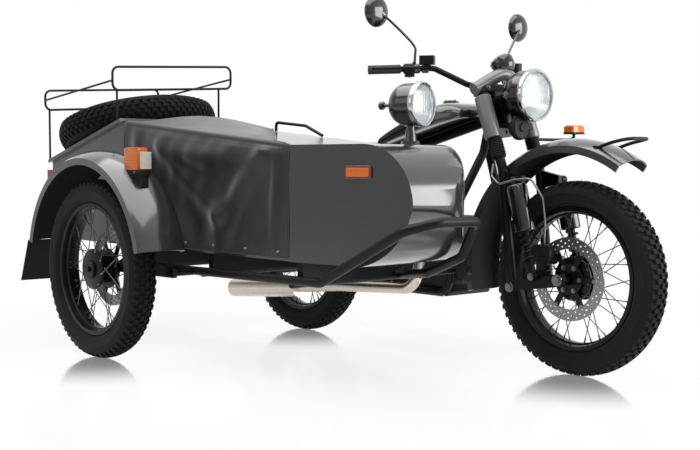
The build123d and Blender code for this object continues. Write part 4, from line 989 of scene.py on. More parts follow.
HEADLAMP_SPOT, HEADLAMP_R, HEADLAMP_DEPTH = (1302, 0, 997), 0.094, 0.128
SEARCHLIGHT_R, SEARCHLIGHT_DEPTH = 0.074, 0.122
SEARCH_X, SEARCH_Y = 1247, -585            # foot of the searchlight's post


def build_headlamp():
    """Headlamp with its ears and bracket plates."""
    head = Form()
    place = ahead_of(*HEADLAMP_SPOT)
    round_lamp(head, place, HEADLAMP_R, HEADLAMP_DEPTH)
    for side in (-1, 1):
        ear = [spot(1162, side * 82, 955), spot(1190, side * 88, 985), spot(1235, side * 90, 997)]
        head.tube(ear, 0.009, "frame", 12)
        head.bolt(spot(1236, side * 88, 997), (0, side, 0), 0.009, 0.010)
        head.block(spot(1140, side * 62 - 3, 950), spot(1200, side * 62 + 3, 985), "frame")
    head.piece("headlamp", "steering", "black_frame_paint", ("headlamp_shell",), sharp=40)
    lamp_cover("headlamp_glass", place, HEADLAMP_R, "steering")


def build_searchlight(look):
    """Searchlight on its post and yoke, with the knob at its back."""
    search = Form()
    place = ahead_of(SEARCH_X + 55, SEARCH_Y, 945, look.searchlight_turn)
    round_lamp(search, place, SEARCHLIGHT_R, SEARCHLIGHT_DEPTH)
    for low, high, radius, end_radius, sides in ((812, 824, 0.034, 0.030, 32), (822, 860, 0.020, 0.016, 24),
                                                 (858, 888, 0.013, 0.013, 20)):
        foot, head = spot(SEARCH_X, SEARCH_Y, low), spot(SEARCH_X, SEARCH_Y, high)
        search.rod(foot, head, radius, "gloss_black", sides, end_radius)
    yoke = [spot(SEARCH_X, SEARCH_Y + y, z)
            for y, z in ((-62, 925), (-55, 893), (0, 877), (55, 893), (62, 925))]
    search.tube(yoke, 0.007, "gloss_black", 12)
    for side in (-1, 1):
        search.bolt(spot(SEARCH_X, SEARCH_Y + side * 64, 930), (0, side, 0), 0.007, 0.012)
    search.rod(place @ Vector((0, 0, -0.155)), place @ Vector((0, 0, -0.118)), 0.006, "gloss_black", 16)
    knob = [(0.0, 0.004), (0.012, 0.004), (0.014, 0.0), (0.014, -0.010), (0.010, -0.014), (0.0, -0.014)]
    search.spin(knob, 24, "gloss_black", place @ Matrix.Translation((0, 0, -0.158)), closed=False)
    search.piece("searchlight", "chassis", "black_frame_paint", ("searchlight_shell",), sharp=40)
    lamp_cover("searchlight_glass", place, SEARCHLIGHT_R, "chassis")


def build_console():
    """Arched bridge between the fork covers, with the speedometer on it."""
    console = Form()
    half = ((138, 1126, 1020), (104, 1132, 1036), (50, 1146, 1066))
    arch = [spot(x, -y, z) for y, x, z in half] + [spot(1152, 0, 1080)]
    arch += [spot(x, y, z) for y, x, z in reversed(half)]
    console.tube(smooth_line(arch, 6), 0.0245, "sleeve", 24)
    cup = Matrix.Translation(spot(1150, 8, 1104)) @ Matrix.Rotation(math.radians(-38), 4, "Y")
    console.spin([(0.0, -0.016), (0.030, -0.014), (0.041, 0.0), (0.044, 0.024), (0.044, 0.034),
                  (0.040, 0.036), (0.038, 0.030)], 48, "gloss_black", cup, closed=False)
    console.spin([(0.0, 0.029), (0.038, 0.029)], 48, "dial", cup, closed=False)
    console.spin([(0.037, 0.034), (0.041, 0.038), (0.045, 0.034), (0.044, 0.030)], 48, "chrome", cup)
    over_dial = Vector((0, 0, 0.0293))
    for k in range(13):
        a = math.radians(135 + 22.5 * k)
        ray = Vector((math.cos(a), math.sin(a), 0))
        console.rod(cup @ (ray * 0.029 + over_dial), cup @ (ray * 0.034 + over_dial), 0.0007, "clear", 6)
    console.rod(cup @ Vector((0, 0, 0.030)), cup @ Vector((-0.018, 0.016, 0.030)), 0.0009, "amber", 6)
    for side in (-1, 1):
        console.bolt(spot(1128, side * 105, 1032), (-math.sin(RAKE), 0, math.cos(RAKE)), 0.017, 0.012)
    console.piece("speedometer", "steering", "black_frame_paint", ("dials",), sharp=40)


def build_horn():
    """Round horn under the headlamp, on its strap."""
    horn = Form()
    horn.spin([(0.0, 0.014), (0.012, 0.014), (0.016, 0.008), (0.040, 0.008), (0.046, 0.002), (0.046, -0.010),
               (0.034, -0.016), (0.026, -0.034), (0.0, -0.036)], 40, "rubber", ahead_of(1262, -38, 880),
              closed=False)
    horn.tube([spot(1228, -38, 880), spot(1205, -30, 884), spot(1186, -20, 886)], 0.006, "frame", 10)
    horn.piece("horn", "steering", "black_frame_paint", sharp=40)


def build_lamps_and_dials(look):
    """Headlamp, searchlight, speedometer with its console, horn."""
    build_headlamp()
    build_searchlight(look)
    build_console()
    build_horn()


# ---- mirrors -------------------------------------------------------------------------------
MIRROR_R = 0.057
MIRROR_SPOT = (890, 400, 1305)             # the left one, in mm
MIRROR_FOOT = (939.8, 259.4, 1100.6)       # where its clamp sits on the bar


def build_mirrors():
    """Mirrors with domed backs on ball joints, their stems and bar clamps."""
    form = Form()
    radius = MIRROR_R
    dome = [(0.0, 0.017)]
    for a in range(10, 91, 10):
        dome.append((radius * math.sin(math.radians(a)), -0.010 + 0.027 * math.cos(math.radians(a))))
    for side in (-1, 1):
        foot = spot(MIRROR_FOOT[0], side * MIRROR_FOOT[1], MIRROR_FOOT[2])
        form.spin([(0.0113, -0.020), (0.017, -0.020), (0.018, -0.016), (0.018, 0.016), (0.017, 0.020),
                   (0.0113, 0.020)], 28, "gloss_black", pointed(foot, -bar_inward(side)))
        x, y, z = MIRROR_SPOT
        ball = spot(x, side * y, z) + Vector((0.012, -side * 0.016, -0.012))
        stem = [foot + Vector((0, 0, 0.014)), spot(943, side * 259, 1150), spot(945, side * 266, 1184),
                spot(925, side * 325, 1242), ball]
        form.tube(smooth_line(stem, 7), 0.0048, "gloss_black", 12)
        form.bolt(foot + Vector((0, 0, 0.012)), (0, 0, 1), 0.008, 0.012, "gloss_black")
        form.spin([(0.0, 0.010), (0.006, 0.008), (0.009, 0.003), (0.009, -0.004)], 20, "zinc",
                  Matrix.Translation(ball) @ Matrix.Rotation(math.radians(90), 4, "Y"), closed=False)
        shell = ahead_of(x, side * y, z)
        form.spin(dome + [(radius, -0.0105)], 48, "gloss_black", shell, closed=False)
        form.spin([(radius, -0.0105), (radius - 0.003, -0.0115), (radius - 0.004, -0.0100),
                   (radius - 0.001, -0.0085)], 48, "chrome", shell)
        form.spin([(0.0, -0.0100), (radius - 0.003, -0.0100)], 48, "mirror", shell, closed=False)
    form.piece("mirror_pair", "steering", "black_frame_paint", ("mirrors",), sharp=50)


# ---- marker lamps --------------------------------------------------------------------------
MARKER_X, MARKER_Y, MARKER_Z = 353.0, -1100.0, 725.5
MARKER_SLABS = (
    # finish, half length, half width, corner, lower and upper height, shift along x and y, all in metres
    ("rubber", 0.058, 0.024, 0.014, -0.026, -0.016, (0.0, 0.0)),
    ("rubber", 0.064, 0.028, 0.018, -0.016, 0.0, (0.0, 0.0)),
    ("rubber", 0.026, 0.020, 0.010, None, -0.026, (0.030, 0.0)),     # neck, down to the base's foot
    ("amber", 0.046, 0.026, 0.010, 0.0, 0.080, (-0.005, 0.0)),
    ("amber", 0.038, 0.019, 0.006, 0.080, 0.083, (-0.005, 0.0)),
    ("clear", 0.013, 0.021, 0.009, 0.004, 0.066, (0.055, 0.004)),
)
INDICATOR_SPOT = (1197.0, 366.0, 880.0)


def build_marker_lamp():
    """Marker lamp on the sidecar fender: tray, amber lens and a small clear one ahead of it."""
    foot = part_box("marker_lamp_base")[0].z - MARKER_Z * MM
    lamp = Form()
    tray = Matrix.Translation(spot(MARKER_X, MARKER_Y, MARKER_Z))
    for finish, half_u, half_v, corner, low, high, (x, y) in MARKER_SLABS:
        lamp.slab(rounded_box(half_u, half_v, corner), foot if low is None else low, high, finish,
                  tray @ Matrix.Translation((x, y, 0)))
    for step in (-1, 1):
        lamp.bolt(tray @ Vector((step * 0.030, -0.028, -0.008)), (0, -1, 0), 0.003, 0.003)
    lamp.piece("marker_lamp", "chassis", "amber_plastic", ("marker_lamp_base", "amber_lenses"), bevel=1.5)


def build_reflector():
    """Oblong reflector on the tub's side, which turns inward ahead of the cockpit."""
    lean = math.atan2(80.0, 498.0)
    plate = Form()
    face = axes(spot(1290, -859.5, 722), (math.cos(lean), math.sin(lean), 0), (0, 0, 1))
    plate.slab(rounded_box(0.0525, 0.021, 0.008), 0.0, 0.0060, "deep_amber", face)
    plate.slab(rounded_box(0.0455, 0.0140, 0.005), 0.0060, 0.0085, "amber", face)
    plate.piece("side_reflector", "chassis", "amber_plastic", bevel=0.8)


def build_flat_indicator():
    """Flat indicator on a bent stalk at the fork's left side."""
    flat = Form()
    x, y, z = INDICATOR_SPOT
    body = axes(spot(x, y, z), (1, 0, 0), (0, 1, 0))
    flat.slab(rounded_box(0.026, 0.041, 0.012), -0.017, -0.010, "rubber", body)
    flat.slab(rounded_box(0.025, 0.040, 0.012), -0.010, 0.013, "amber", body)
    flat.slab(rounded_box(0.019, 0.034, 0.009), 0.013, 0.017, "amber", body)
    stalk = [spot(x, y, z - 16), spot(x, y - 4, z - 30), spot(x, y - 26, z - 38), spot(x, 260, z - 40),
             spot(x + 2, 136, z - 40)]
    flat.tube(smooth_line(stalk, 5), 0.006, "rubber", 12)
    flat.piece("flat_indicator", "steering", "amber_plastic", ("left_indicator",), bevel=1.0)


def build_markers():
    """Marker lamp on the sidecar fender, side reflector, and the flat indicator on the fork."""
    build_marker_lamp()
    build_reflector()
    build_flat_indicator()


# ---- tank ----------------------------------------------------------------------------------
TANK_STATIONS = (
    # x, half width, height over the floor line
    (531, 66, 18), (545, 90, 22), (575, 112, 32), (620, 130, 43), (680, 140, 58), (740, 145, 71),
    (800, 145, 82), (860, 145, 88), (915, 142, 85), (960, 134, 73), (1000, 118, 53), (1020, 100, 31),
    (1028, 86, 14),
)
TANK_AROUND = 40                           # steps over the top from side to side
TANK_SQUARENESS = 0.52                     # 1 is an ellipse, 0 a box
KNEE_PAD_REAR_X, KNEE_PAD_LENGTH = 590, 200
KNEE_PAD_CELLS_X, KNEE_PAD_CELLS_UP = 14, 10
KNEE_PAD_FIRST_DEG, KNEE_PAD_SPAN_DEG = 5, 26
KNEE_PAD_OUT, KNEE_PAD_EDGE = 4.5, -1.0    # over the tank's skin; the edge sinks into it


def tank_floor(x):
    """Height of the tank's underside in millimetres."""
    return 796.0 + 0.25 * (x - 530.0)


def tank_point(station, angle, out=0.0):
    """Point on the tank's skin. The angle runs from the left side (0) over the top to the right (pi)."""
    x, half, high = station
    c, s = math.cos(angle), math.sin(angle)
    y = (half + out) * math.copysign(abs(c) ** TANK_SQUARENESS, c)
    z = tank_floor(x) + 6.0 + (high + out) * abs(s) ** (TANK_SQUARENESS + 0.12)
    return spot(x, y, z)


def station_at(x):
    """Tank section between two stations."""
    for before, after in zip(TANK_STATIONS, TANK_STATIONS[1:]):
        if x <= after[0]:
            t = (x - before[0]) / (after[0] - before[0])
            return tuple(a + (b - a) * t for a, b in zip(before, after))
    return TANK_STATIONS[-1]


def build_tank_shell():
    """Teardrop tank skin over a flat floor."""
    form = Form()
    verts, faces = [], []
    for station in TANK_STATIONS:
        verts += [tank_point(station, math.pi * k / TANK_AROUND) for k in range(TANK_AROUND + 1)]
        x, half, _ = station
        verts += [spot(x, -half * 0.93, tank_floor(x)), spot(x, half * 0.93, tank_floor(x))]
    ring = TANK_AROUND + 3
    for r in range(len(TANK_STATIONS) - 1):
        for k in range(ring):
            j = (k + 1) % ring
            faces.append((r * ring + k, r * ring + j, (r + 1) * ring + j, (r + 1) * ring + k))
    last = (len(TANK_STATIONS) - 1) * ring
    faces += [tuple(reversed(range(ring))), tuple(range(last, last + ring))]
    form.add(verts, faces, "tank")
    shell = form.piece("tank_shell", "chassis", "satin_grey_paint", ("fuel_tank",), sharp=62)
    smooth = shell.modifiers.new("smooth", "SUBSURF")
    smooth.levels = smooth.render_levels = 2


def build_tank_trim():
    """Seam flange, rubber knee pads and filler cap."""
    trim = Form()
    flange = [spot(x, half + 2, tank_floor(x) + 5) for x, half, _ in TANK_STATIONS]
    flange += [spot(x, -half - 2, tank_floor(x) + 5) for x, half, _ in reversed(TANK_STATIONS)]
    trim.tube(flange, 0.0035, "tank", 8, closed=True)
    row = KNEE_PAD_CELLS_UP + 1
    for side in (0, 1):
        grid = []
        for i in range(KNEE_PAD_CELLS_X + 1):
            station = station_at(KNEE_PAD_REAR_X + KNEE_PAD_LENGTH * i / KNEE_PAD_CELLS_X)
            for k in range(row):
                on_edge = min(i, KNEE_PAD_CELLS_X - i, k, KNEE_PAD_CELLS_UP - k) == 0
                angle = math.radians(KNEE_PAD_FIRST_DEG + KNEE_PAD_SPAN_DEG * k / KNEE_PAD_CELLS_UP)
                out = KNEE_PAD_EDGE if on_edge else KNEE_PAD_OUT
                grid.append(tank_point(station, math.pi - angle if side else angle, out))
        cells = [(i * row + k, i * row + k + 1, (i + 1) * row + k + 1, (i + 1) * row + k)
                 for i in range(KNEE_PAD_CELLS_X) for k in range(KNEE_PAD_CELLS_UP)]
        trim.add(grid, cells, "rubber")
    cap = Matrix.Translation(spot(885, 0, 977))
    trim.spin([(0.0, 0.019), (0.022, 0.018), (0.030, 0.014), (0.032, 0.008), (0.030, 0.002), (0.034, 0.0),
               (0.036, -0.006)], 40, "gloss_black", cap, closed=False)
    for k in range(3):
        turn = cap @ Matrix.Rotation(math.tau * k / 3, 4, "Z")
        trim.rod(turn @ Vector((0.022, 0, 0.0165)), turn @ Vector((0.022, 0, 0.0195)), 0.003, "zinc", 10)
    trim.piece("tank_trim", "chassis", "black_cap_plastic", ("tank_cap",), sharp=40)


def build_tank():
    """Teardrop tank with a seam flange, knee pads and a filler cap."""
    build_tank_shell()
    build_tank_trim()


# ---- sidecar nose --------------------------------------------------------------------------
NOSE_ROLL = 0.060                          # radius of the rolled edge beside the motorcycle
NOSE_START = 1012.0                        # the roll begins ahead of the cockpit, in mm
NOSE_INNER_Y = -545.0                      # the edges that are rolled lie to the left of this, in mm
NOSE_LOW_Z = 0.640                         # and above this, in metres


def build_nose():
    """Tub with the nose's inner edge rolled over, as a panel beater leaves it."""
    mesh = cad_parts["sidecar_tub"].data.copy()
    mesh.materials.clear()
    mesh.materials.append(MADE["body"])
    work = bmesh.new()
    work.from_mesh(mesh)
    bmesh.ops.remove_doubles(work, verts=work.verts, dist=2e-5)
    geometry = work.verts[:] + work.edges[:] + work.faces[:]
    bmesh.ops.bisect_plane(work, geom=geometry, plane_co=spot(NOSE_START, 0, 0), plane_no=(1, 0, 0),
                           dist=1e-5)
    bmesh.ops.dissolve_limit(work, angle_limit=math.radians(0.4), verts=work.verts, edges=work.edges)
    start, inner = spot(NOSE_START - 1, 0, 0).x, spot(0, NOSE_INNER_Y, 0).y
    chain = []
    for edge in work.edges:
        if len(edge.link_faces) != 2 or min(v.co.x for v in edge.verts) < start:
            continue
        if min(v.co.z for v in edge.verts) < NOSE_LOW_Z or min(v.co.y for v in edge.verts) < inner:
            continue
        upright = [abs(face.normal.z) < 0.12 and face.normal.y > 0.15 for face in edge.link_faces]
        if sum(upright) == 1 and edge.calc_face_angle(0.0) > math.radians(30):
            chain.append(edge)
    bmesh.ops.bevel(work, geom=chain, offset=NOSE_ROLL, offset_type="OFFSET", segments=8, profile=0.5,
                    affect="EDGES", clamp_overlap=True)
    work.to_mesh(mesh)
    work.free()
    place_mesh("tub_shell", mesh, "chassis", ("sidecar_tub",), sharp=24)


# ---- fork trim -----------------------------------------------------------------------------
STEERING_FOOT = (1105.0, 928.0)            # x and z of a point on the steering axis
LEG_AHEAD = 58                             # legs ahead of the steering axis
LEG_Y = 105
COVER_Y = 110.0                            # covers sit a little outside the legs
COVER_TOP, COVER_LOW, BOOT_TOP = 50, -112, -114
BOOT_RIBS = 8


def on_fork(ahead, y, up):
    """Place given ahead of, beside and up along the steering axis, in millimetres."""
    return spot(STEERING_FOOT[0] + ahead * math.cos(RAKE) - up * math.sin(RAKE), y,
                STEERING_FOOT[1] + ahead * math.sin(RAKE) + up * math.cos(RAKE))


def build_leg_covers(form):
    """Upper covers and ribbed boots of the fork legs, and the bolts at their yokes and links."""
    for side in (-1, 1):
        top = on_fork(LEG_AHEAD, side * COVER_Y, COVER_TOP)
        low = on_fork(LEG_AHEAD, side * COVER_Y, COVER_LOW)
        down = (low - top).normalized()
        length = (low - top).length
        form.spin([(0.019, 0.0), (0.027, 0.0), (0.0305, 0.004), (0.0305, length - 0.006), (0.029, length),
                   (0.019, length)], 40, "sleeve", pointed(top, down))
        boot = [(0.0235, 0.0)]
        for k in range(BOOT_RIBS):
            boot += [(0.0275, 0.004 + 0.009 * k), (0.0240, 0.0085 + 0.009 * k)]
        boot_place = pointed(on_fork(LEG_AHEAD, side * LEG_Y, BOOT_TOP), down)
        form.spin(boot + [(0.0232, 0.076)], 28, "rubber", boot_place, closed=False)
        yoke_front = on_fork(LEG_AHEAD + 27, side * LEG_Y * 0.93, 74)
        form.bolt(yoke_front, (math.cos(RAKE), 0, math.sin(RAKE)), 0.0055, 0.007)
        outward = Vector((0, side, 0))
        form.bolt(spot(1288, side * 118.5, 305), outward, 0.013, 0.011)
        form.bolt(spot(1500, side * 119.5, 345), outward, 0.014, 0.013)


def build_head_shroud(form):
    """Rounded shroud between the yokes, with three cables that loop in front of it."""
    place = axes(on_fork(0, 0, -8), (0, 1, 0), (-math.sin(RAKE), 0, math.cos(RAKE)))
    form.slab(rounded_box(0.078, 0.052, 0.020), 0.040, 0.064, "gloss_black", place)
    route = ((1.0, 0.040, 0.060), (1.3, 0.010, 0.078), (0.8, -0.040, 0.076), (0.5, -0.085, 0.050))
    for across in (-0.04, 0.0, 0.04):
        cable = [place @ Vector((across * spread, up, ahead)) for spread, up, ahead in route]
        form.tube(smooth_line(cable, 6), 0.0036, "rubber", 8)


def build_switch_housings():
    """Round switch housings inside the grips, each with a box below the bar."""
    housings = Form()
    for side in (-1, 1):
        inward = bar_inward(side)
        tip = spot(BAR_TIP[0], side * BAR_TIP[1], BAR_TIP[2])
        near, far = tip + inward * 0.136, tip + inward * 0.172
        housings.rod(near, far, 0.0200, "frame", 28)
        for at, out in ((near, -1), (far, 1)):
            housings.rod(at, at + inward * (0.004 * out), 0.0170, "frame", 28)
        seat = axes((near + far) / 2, inward, inward.cross(Vector((0, 0, 1))))
        housings.slab(rounded_box(0.017, 0.017, 0.005), 0.008, 0.030, "frame", seat)
        housings.bolt(seat @ Vector((0.0, 0.0, 0.030)), (0, 0, -1), 0.003, 0.003)
    housings.piece("switch_housings", "steering", "black_frame_paint", sharp=40)


def build_fender_hoop():
    """Hoop of tube over the front fender's tip, its feet on the fender."""
    loop = Form()
    half = [(1608, 58, 800), (1660, 60, 817), (1712, 59, 828), (1738, 46, 832), (1744, 18, 833)]
    line = [spot(x, -y, z) for x, y, z in half] + [spot(x, y, z) for x, y, z in reversed(half)]
    loop.tube(smooth_line(line, 6), 0.006, "frame", 12)
    for side in (-1, 1):
        loop.rod(spot(1608, side * 58, 799), spot(1610, side * 58, 810), 0.011, "frame", 16)
    loop.piece("fender_hoop", "steering", "black_frame_paint", ("fender_loop",), sharp=60)


def build_fork_trim():
    """Covers, boots, bolts, shroud and cables of the fork, switch housings and the fender's hoop."""
    form = Form()
    build_leg_covers(form)
    build_head_shroud(form)
    form.piece("fork_trim", "steering", "black_frame_paint", sharp=40)
    build_switch_housings()
    build_fender_hoop()


# ---- stage ---------------------------------------------------------------------------------
CAMERA_SPOT = (3984.0, -3333.0, 752.0)
CAMERA_YAW = -0.8703
CAMERA_PITCH = -0.06385
FOCAL_PIXELS = 1151.4
IMAGE_WIDTH = 700.0
SENSOR = 36.0
SHIFT_PIXELS = (40.0, 11.4)
WHITE = (1.0, 1.0, 1.0, 1.0)
FLOOR_RADIUS, FLOOR_Z = 14.0, -0.0006
FLOOR_WHITE = 0.86                         # plain white's share of the floor; the rest takes shadow
NEAR_SIDE_LEVEL = 0.25                     # what a glossy side mirrors of the studio's darker half
FLOOR_GLOSS = (0.75, 0.04)                 # polish under the wheels and away from them


def build_camera():
    """Camera at the viewing angle, with the small shift that the framing needs."""
    data = bpy.data.cameras.new("camera")
    data.sensor_width = SENSOR
    data.lens = FOCAL_PIXELS / IMAGE_WIDTH * SENSOR
    data.shift_x = SHIFT_PIXELS[0] / IMAGE_WIDTH
    data.shift_y = SHIFT_PIXELS[1] / IMAGE_WIDTH
    camera = bpy.data.objects.new("camera", data)
    camera.location = spot(*CAMERA_SPOT)
    level = math.cos(CAMERA_PITCH)
    ahead = Vector((math.sin(CAMERA_YAW) * level, math.cos(CAMERA_YAW) * level, math.sin(CAMERA_PITCH)))
    camera.rotation_mode = "QUATERNION"
    camera.rotation_quaternion = ahead.to_track_quat("-Z", "Y")
    bpy.context.scene.collection.objects.link(camera)
    bpy.context.scene.camera = camera


def build_studio_lamps(look):
    """One large soft lamp overhead and two low fills."""
    lamps = (
        # name, place, size, share of the strength
        ("overhead", (0.2, -0.6, 4.2), (6.0, 4.5), 1.0),
        ("front_fill", (4.2, 2.6, 1.5), (3.2, 2.6), 0.70),
        ("side_fill", (-0.6, -5.0, 2.4), (4.0, 2.0), 0.10),
    )
    for name, place, (width, depth), share in lamps:
        data = bpy.data.lights.new(name, "AREA")
        data.shape = "RECTANGLE"
        data.size, data.size_y = width, depth
        data.energy = look.lamp_watts * share
        lamp = bpy.data.objects.new(name, data)
        lamp.location = place
        aim = Vector((0.0, 0.0, 0.5)) - Vector(place)
        lamp.rotation_mode = "QUATERNION"
        lamp.rotation_quaternion = aim.to_track_quat("-Z", "Y")
        bpy.context.scene.collection.objects.link(lamp)


def seen_share(tree, reflected):
    """1 for what the eye or a glass sees, the given level for what a glossy surface mirrors, else 0."""
    path = add(tree, "ShaderNodeLightPath")
    mirrored = add(tree, "ShaderNodeMath", links={0: path.outputs["Is Glossy Ray"], 1: reflected},
                   operation="MULTIPLY")
    direct = add(tree, "ShaderNodeMath", links={0: path.outputs["Is Camera Ray"],
                                                1: path.outputs["Is Transmission Ray"]}, operation="MAXIMUM")
    return add(tree, "ShaderNodeMath", links={0: direct.outputs[0], 1: mirrored.outputs[0]},
               operation="MAXIMUM").outputs[0]


def build_world(look):
    """White to the eye, to metal and to glass; a softer grey as light on the object."""
    world = bpy.data.worlds.new("studio")
    world.use_nodes = True
    tree = world.node_tree
    tree.nodes.clear()
    direction = add(tree, "ShaderNodeTexCoord").outputs["Generated"]
    toward = add(tree, "ShaderNodeSeparateXYZ", links={0: direction})
    open_side = add(tree, "ShaderNodeMapRange", {"From Min": -0.8, "From Max": 0.3, "To Min": NEAR_SIDE_LEVEL,
                                                 "To Max": 1.0}, {"Value": toward.outputs["Y"]})
    above = add(tree, "ShaderNodeMapRange", {"From Min": 0.3, "From Max": 0.9},
                {"Value": toward.outputs["Z"]})
    studio = add(tree, "ShaderNodeMath", links={0: open_side.outputs[0], 1: above.outputs[0]},
                 operation="MAXIMUM")
    strength = add(tree, "ShaderNodeMapRange", {"To Min": look.sky_light, "To Max": 1.0},
                   {"Value": seen_share(tree, studio.outputs[0])})
    sky = add(tree, "ShaderNodeBackground", {"Color": WHITE}, {"Strength": strength.outputs[0]})
    add(tree, "ShaderNodeOutputWorld", links={"Surface": sky.outputs[0]})
    bpy.context.scene.world = world


def build_floor():
    """Pale glossy floor that keeps the shadow and fades into white away from the object."""
    bpy.ops.mesh.primitive_circle_add(vertices=96, radius=FLOOR_RADIUS, fill_type="NGON",
                                      location=(0, 0, FLOOR_Z))
    floor = bpy.context.object
    floor.name = "floor"
    material = bpy.data.materials.new("white_studio_floor")
    material.use_nodes = True
    tree = material.node_tree
    tree.nodes.clear()
    place = add(tree, "ShaderNodeTexCoord").outputs["Object"]
    across = add(tree, "ShaderNodeSeparateXYZ", links={0: place})
    open_side = add(tree, "ShaderNodeMapRange", {"From Min": -3.5, "From Max": 0.5, "To Min": NEAR_SIDE_LEVEL,
                                                 "To Max": 1.0}, {"Value": across.outputs["Y"]})
    seen = seen_share(tree, open_side.outputs[0])
    far = add(tree, "ShaderNodeVectorMath", links={0: place}, operation="LENGTH")
    fade = add(tree, "ShaderNodeMapRange",
               {"From Min": 1.4, "From Max": 3.0, "To Min": FLOOR_WHITE, "To Max": 1.0},
               {"Value": far.outputs["Value"]}, interpolation_type="SMOOTHSTEP")
    share = add(tree, "ShaderNodeMath", links={0: fade.outputs[0], 1: seen}, operation="MULTIPLY")
    lit = add(tree, "ShaderNodeBsdfDiffuse", {"Color": (0.90, 0.90, 0.90, 1.0)})
    white = add(tree, "ShaderNodeEmission", {"Color": WHITE, "Strength": 1.0})
    plain = add(tree, "ShaderNodeMixShader",
                links={0: share.outputs[0], 1: lit.outputs[0], 2: white.outputs[0]})
    nearest = None
    for axle in (FRONT_AXLE, REAR_AXLE, SIDECAR_AXLE):
        gap = add(tree, "ShaderNodeVectorMath", {1: (axle.x, axle.y, 0.0)}, {0: place},
                  operation="DISTANCE").outputs["Value"]
        if nearest is None:
            nearest = gap
        else:
            nearest = add(tree, "ShaderNodeMath", links={0: gap, 1: nearest}, operation="MINIMUM").outputs[0]
    polish = add(tree, "ShaderNodeMapRange", {"From Min": 0.12, "From Max": 0.62, "To Min": FLOOR_GLOSS[0],
                                              "To Max": FLOOR_GLOSS[1]}, {"Value": nearest},
                 interpolation_type="SMOOTHSTEP")
    gloss = add(tree, "ShaderNodeBsdfGlossy", {"Color": WHITE, "Roughness": 0.10})
    mixed = add(tree, "ShaderNodeMixShader",
                links={0: polish.outputs[0], 1: plain.outputs[0], 2: gloss.outputs[0]})
    add(tree, "ShaderNodeOutputMaterial", links={"Surface": mixed.outputs[0]})
    floor.data.materials.append(material)


def build_stage(look):
    """Camera, lamps, surroundings and floor."""
    bpy.context.scene.view_settings.view_transform = "Standard"
    build_camera()
    build_studio_lamps(look)
    build_world(look)
    build_floor()


# ---- finishes on the CAD nodes -------------------------------------------------------------
def finish_nodes(look):
    """Give every CAD node its finish."""
    make_materials(look)
    for finish, names in NODE_FINISH.items():
        for name in names:
            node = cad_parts[name]
            for slot in node.material_slots:
                slot.material = MADE[finish]


# ---- add-on --------------------------------------------------------------------------------
class SidecarRigLook(bpy.types.PropertyGroup):
    """Sizes and colours that can be changed"""
    body_colour: FloatVectorProperty(name="Body colour", description="Enamel of tub, fenders and lid",
                                     subtype="COLOR_GAMMA", size=3, min=0.0, max=1.0,
                                     default=(0.18, 0.18, 0.195))
    tread_pitches: IntProperty(name="Tread pitches", description="Blocks in each row round a tyre",
                               default=64, min=24, max=96)
    spoke_thickness: FloatProperty(name="Spoke thickness", description="Diameter of a spoke in millimetres",
                                   default=3.6, min=2.0, max=6.0)
    spoke_lean: FloatProperty(name="Spoke lean", description="Degrees between a spoke's two ends",
                              default=34.0, min=10.0, max=60.0)
    cloth_dome: FloatProperty(name="Cloth dome", description="Rise of the cover over its bows in millimetres",
                              default=22.0, min=0.0, max=60.0)
    searchlight_turn: FloatProperty(name="Searchlight turn",
                                    description="Degrees that the searchlight looks left", default=12.0,
                                    min=-40.0, max=40.0)
    lamp_watts: FloatProperty(name="Lamp strength", description="Power of the overhead lamp in watts",
                              default=230.0, min=0.0, unit="POWER")
    sky_light: FloatProperty(name="Sky light", description="Strength of the surroundings as light",
                             default=0.30, min=0.0, max=1.0)

    @property
    def body_colour_code(self):
        """Body colour as an sRGB hex code."""
        return "#" + "".join(f"{round(c * 255):02x}" for c in self.body_colour)


class RIG_OT_finishes(bpy.types.Operator):
    """Give every CAD node its finish"""
    bl_idname = "rig.finishes"
    bl_label = "Finishes"

    def execute(self, context):
        finish_nodes(context.scene.sidecar_rig)
        return {"FINISHED"}


class RIG_OT_stage(bpy.types.Operator):
    """Set up the camera, lamps, surroundings and floor"""
    bl_idname = "rig.stage"
    bl_label = "Stage"

    def execute(self, context):
        build_stage(context.scene.sidecar_rig)
        return {"FINISHED"}


class RIG_OT_wheels(bpy.types.Operator):
    """Make tyres with tread, laced wheels and drilled discs"""
    bl_idname = "rig.wheels"
    bl_label = "Wheels"

    def execute(self, context):
        build_wheels(context.scene.sidecar_rig)
        return {"FINISHED"}


class RIG_OT_springs(bpy.types.Operator):
    """Make the dampers with wound springs"""
    bl_idname = "rig.springs"
    bl_label = "Springs"

    def execute(self, context):
        build_springs()
        return {"FINISHED"}


class RIG_OT_tonneau(bpy.types.Operator):
    """Drape the cockpit cover"""
    bl_idname = "rig.tonneau"
    bl_label = "Tonneau"

    def execute(self, context):
        build_tonneau(context.scene.sidecar_rig)
        return {"FINISHED"}


class RIG_OT_saddles(bpy.types.Operator):
    """Make the padded saddles"""
    bl_idname = "rig.saddles"
    bl_label = "Saddles"

    def execute(self, context):
        build_saddles()
        return {"FINISHED"}


class RIG_OT_lamps(bpy.types.Operator):
    """Make the lamps, speedometer and horn"""
    bl_idname = "rig.lamps"
    bl_label = "Lamps and dials"

    def execute(self, context):
        build_lamps_and_dials(context.scene.sidecar_rig)
        return {"FINISHED"}


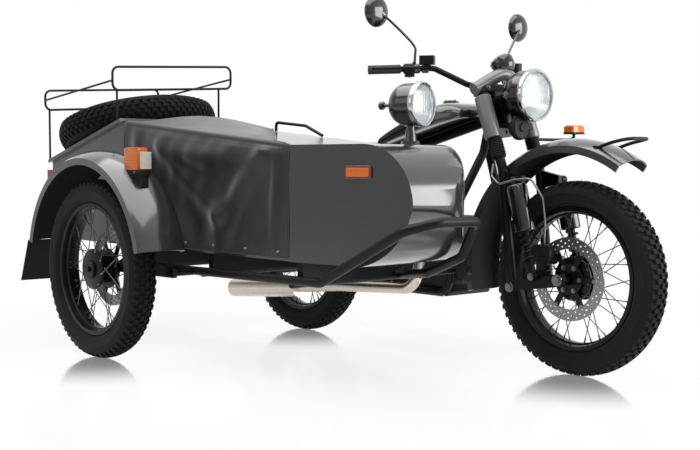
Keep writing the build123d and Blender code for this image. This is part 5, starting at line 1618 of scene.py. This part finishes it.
class RIG_OT_fork(bpy.types.Operator):
    """Make the fork's covers and boots, the switch housings and the fender's hoop"""
    bl_idname = "rig.fork"
    bl_label = "Fork trim"

    def execute(self, context):
        build_fork_trim()
        return {"FINISHED"}


class RIG_OT_mirrors(bpy.types.Operator):
    """Make the mirrors"""
    bl_idname = "rig.mirrors"
    bl_label = "Mirrors"

    def execute(self, context):
        build_mirrors()
        return {"FINISHED"}


class RIG_OT_markers(bpy.types.Operator):
    """Make the marker lamp, reflector and flat indicator"""
    bl_idname = "rig.markers"
    bl_label = "Markers"

    def execute(self, context):
        build_markers()
        return {"FINISHED"}


class RIG_OT_tank(bpy.types.Operator):
    """Make the tank with its trim and cap"""
    bl_idname = "rig.tank"
    bl_label = "Tank"

    def execute(self, context):
        build_tank()
        return {"FINISHED"}


class RIG_OT_nose(bpy.types.Operator):
    """Roll the inner edge of the nose"""
    bl_idname = "rig.nose"
    bl_label = "Nose"

    def execute(self, context):
        build_nose()
        return {"FINISHED"}


STEPS = (RIG_OT_finishes, RIG_OT_stage, RIG_OT_wheels, RIG_OT_springs, RIG_OT_tonneau, RIG_OT_saddles,
         RIG_OT_lamps, RIG_OT_fork, RIG_OT_mirrors, RIG_OT_markers, RIG_OT_tank, RIG_OT_nose)


class RIG_PT_panel(bpy.types.Panel):
    """Steps that build the machine's looks"""
    bl_idname = "RIG_PT_panel"
    bl_label = "Sidecar motorcycle"
    bl_space_type = "VIEW_3D"
    bl_region_type = "UI"
    bl_category = "Sidecar"

    def draw(self, context):
        for step in STEPS:
            self.layout.operator(step.bl_idname)


CLASSES = (SidecarRigLook, *STEPS, RIG_PT_panel)


def register():
    """Make the classes and the settings known."""
    for item in CLASSES:
        bpy.utils.register_class(item)
    bpy.types.Scene.sidecar_rig = bpy.props.PointerProperty(type=SidecarRigLook)


def unregister():
    """Take the classes and the settings away again."""
    del bpy.types.Scene.sidecar_rig
    for item in reversed(CLASSES):
        bpy.utils.unregister_class(item)


def main():
    """Build everything in order."""
    register()
    for step in STEPS:
        group, name = step.bl_idname.split(".")
        getattr(getattr(bpy.ops, group), name)()


if __name__ == "__main__":
    main()
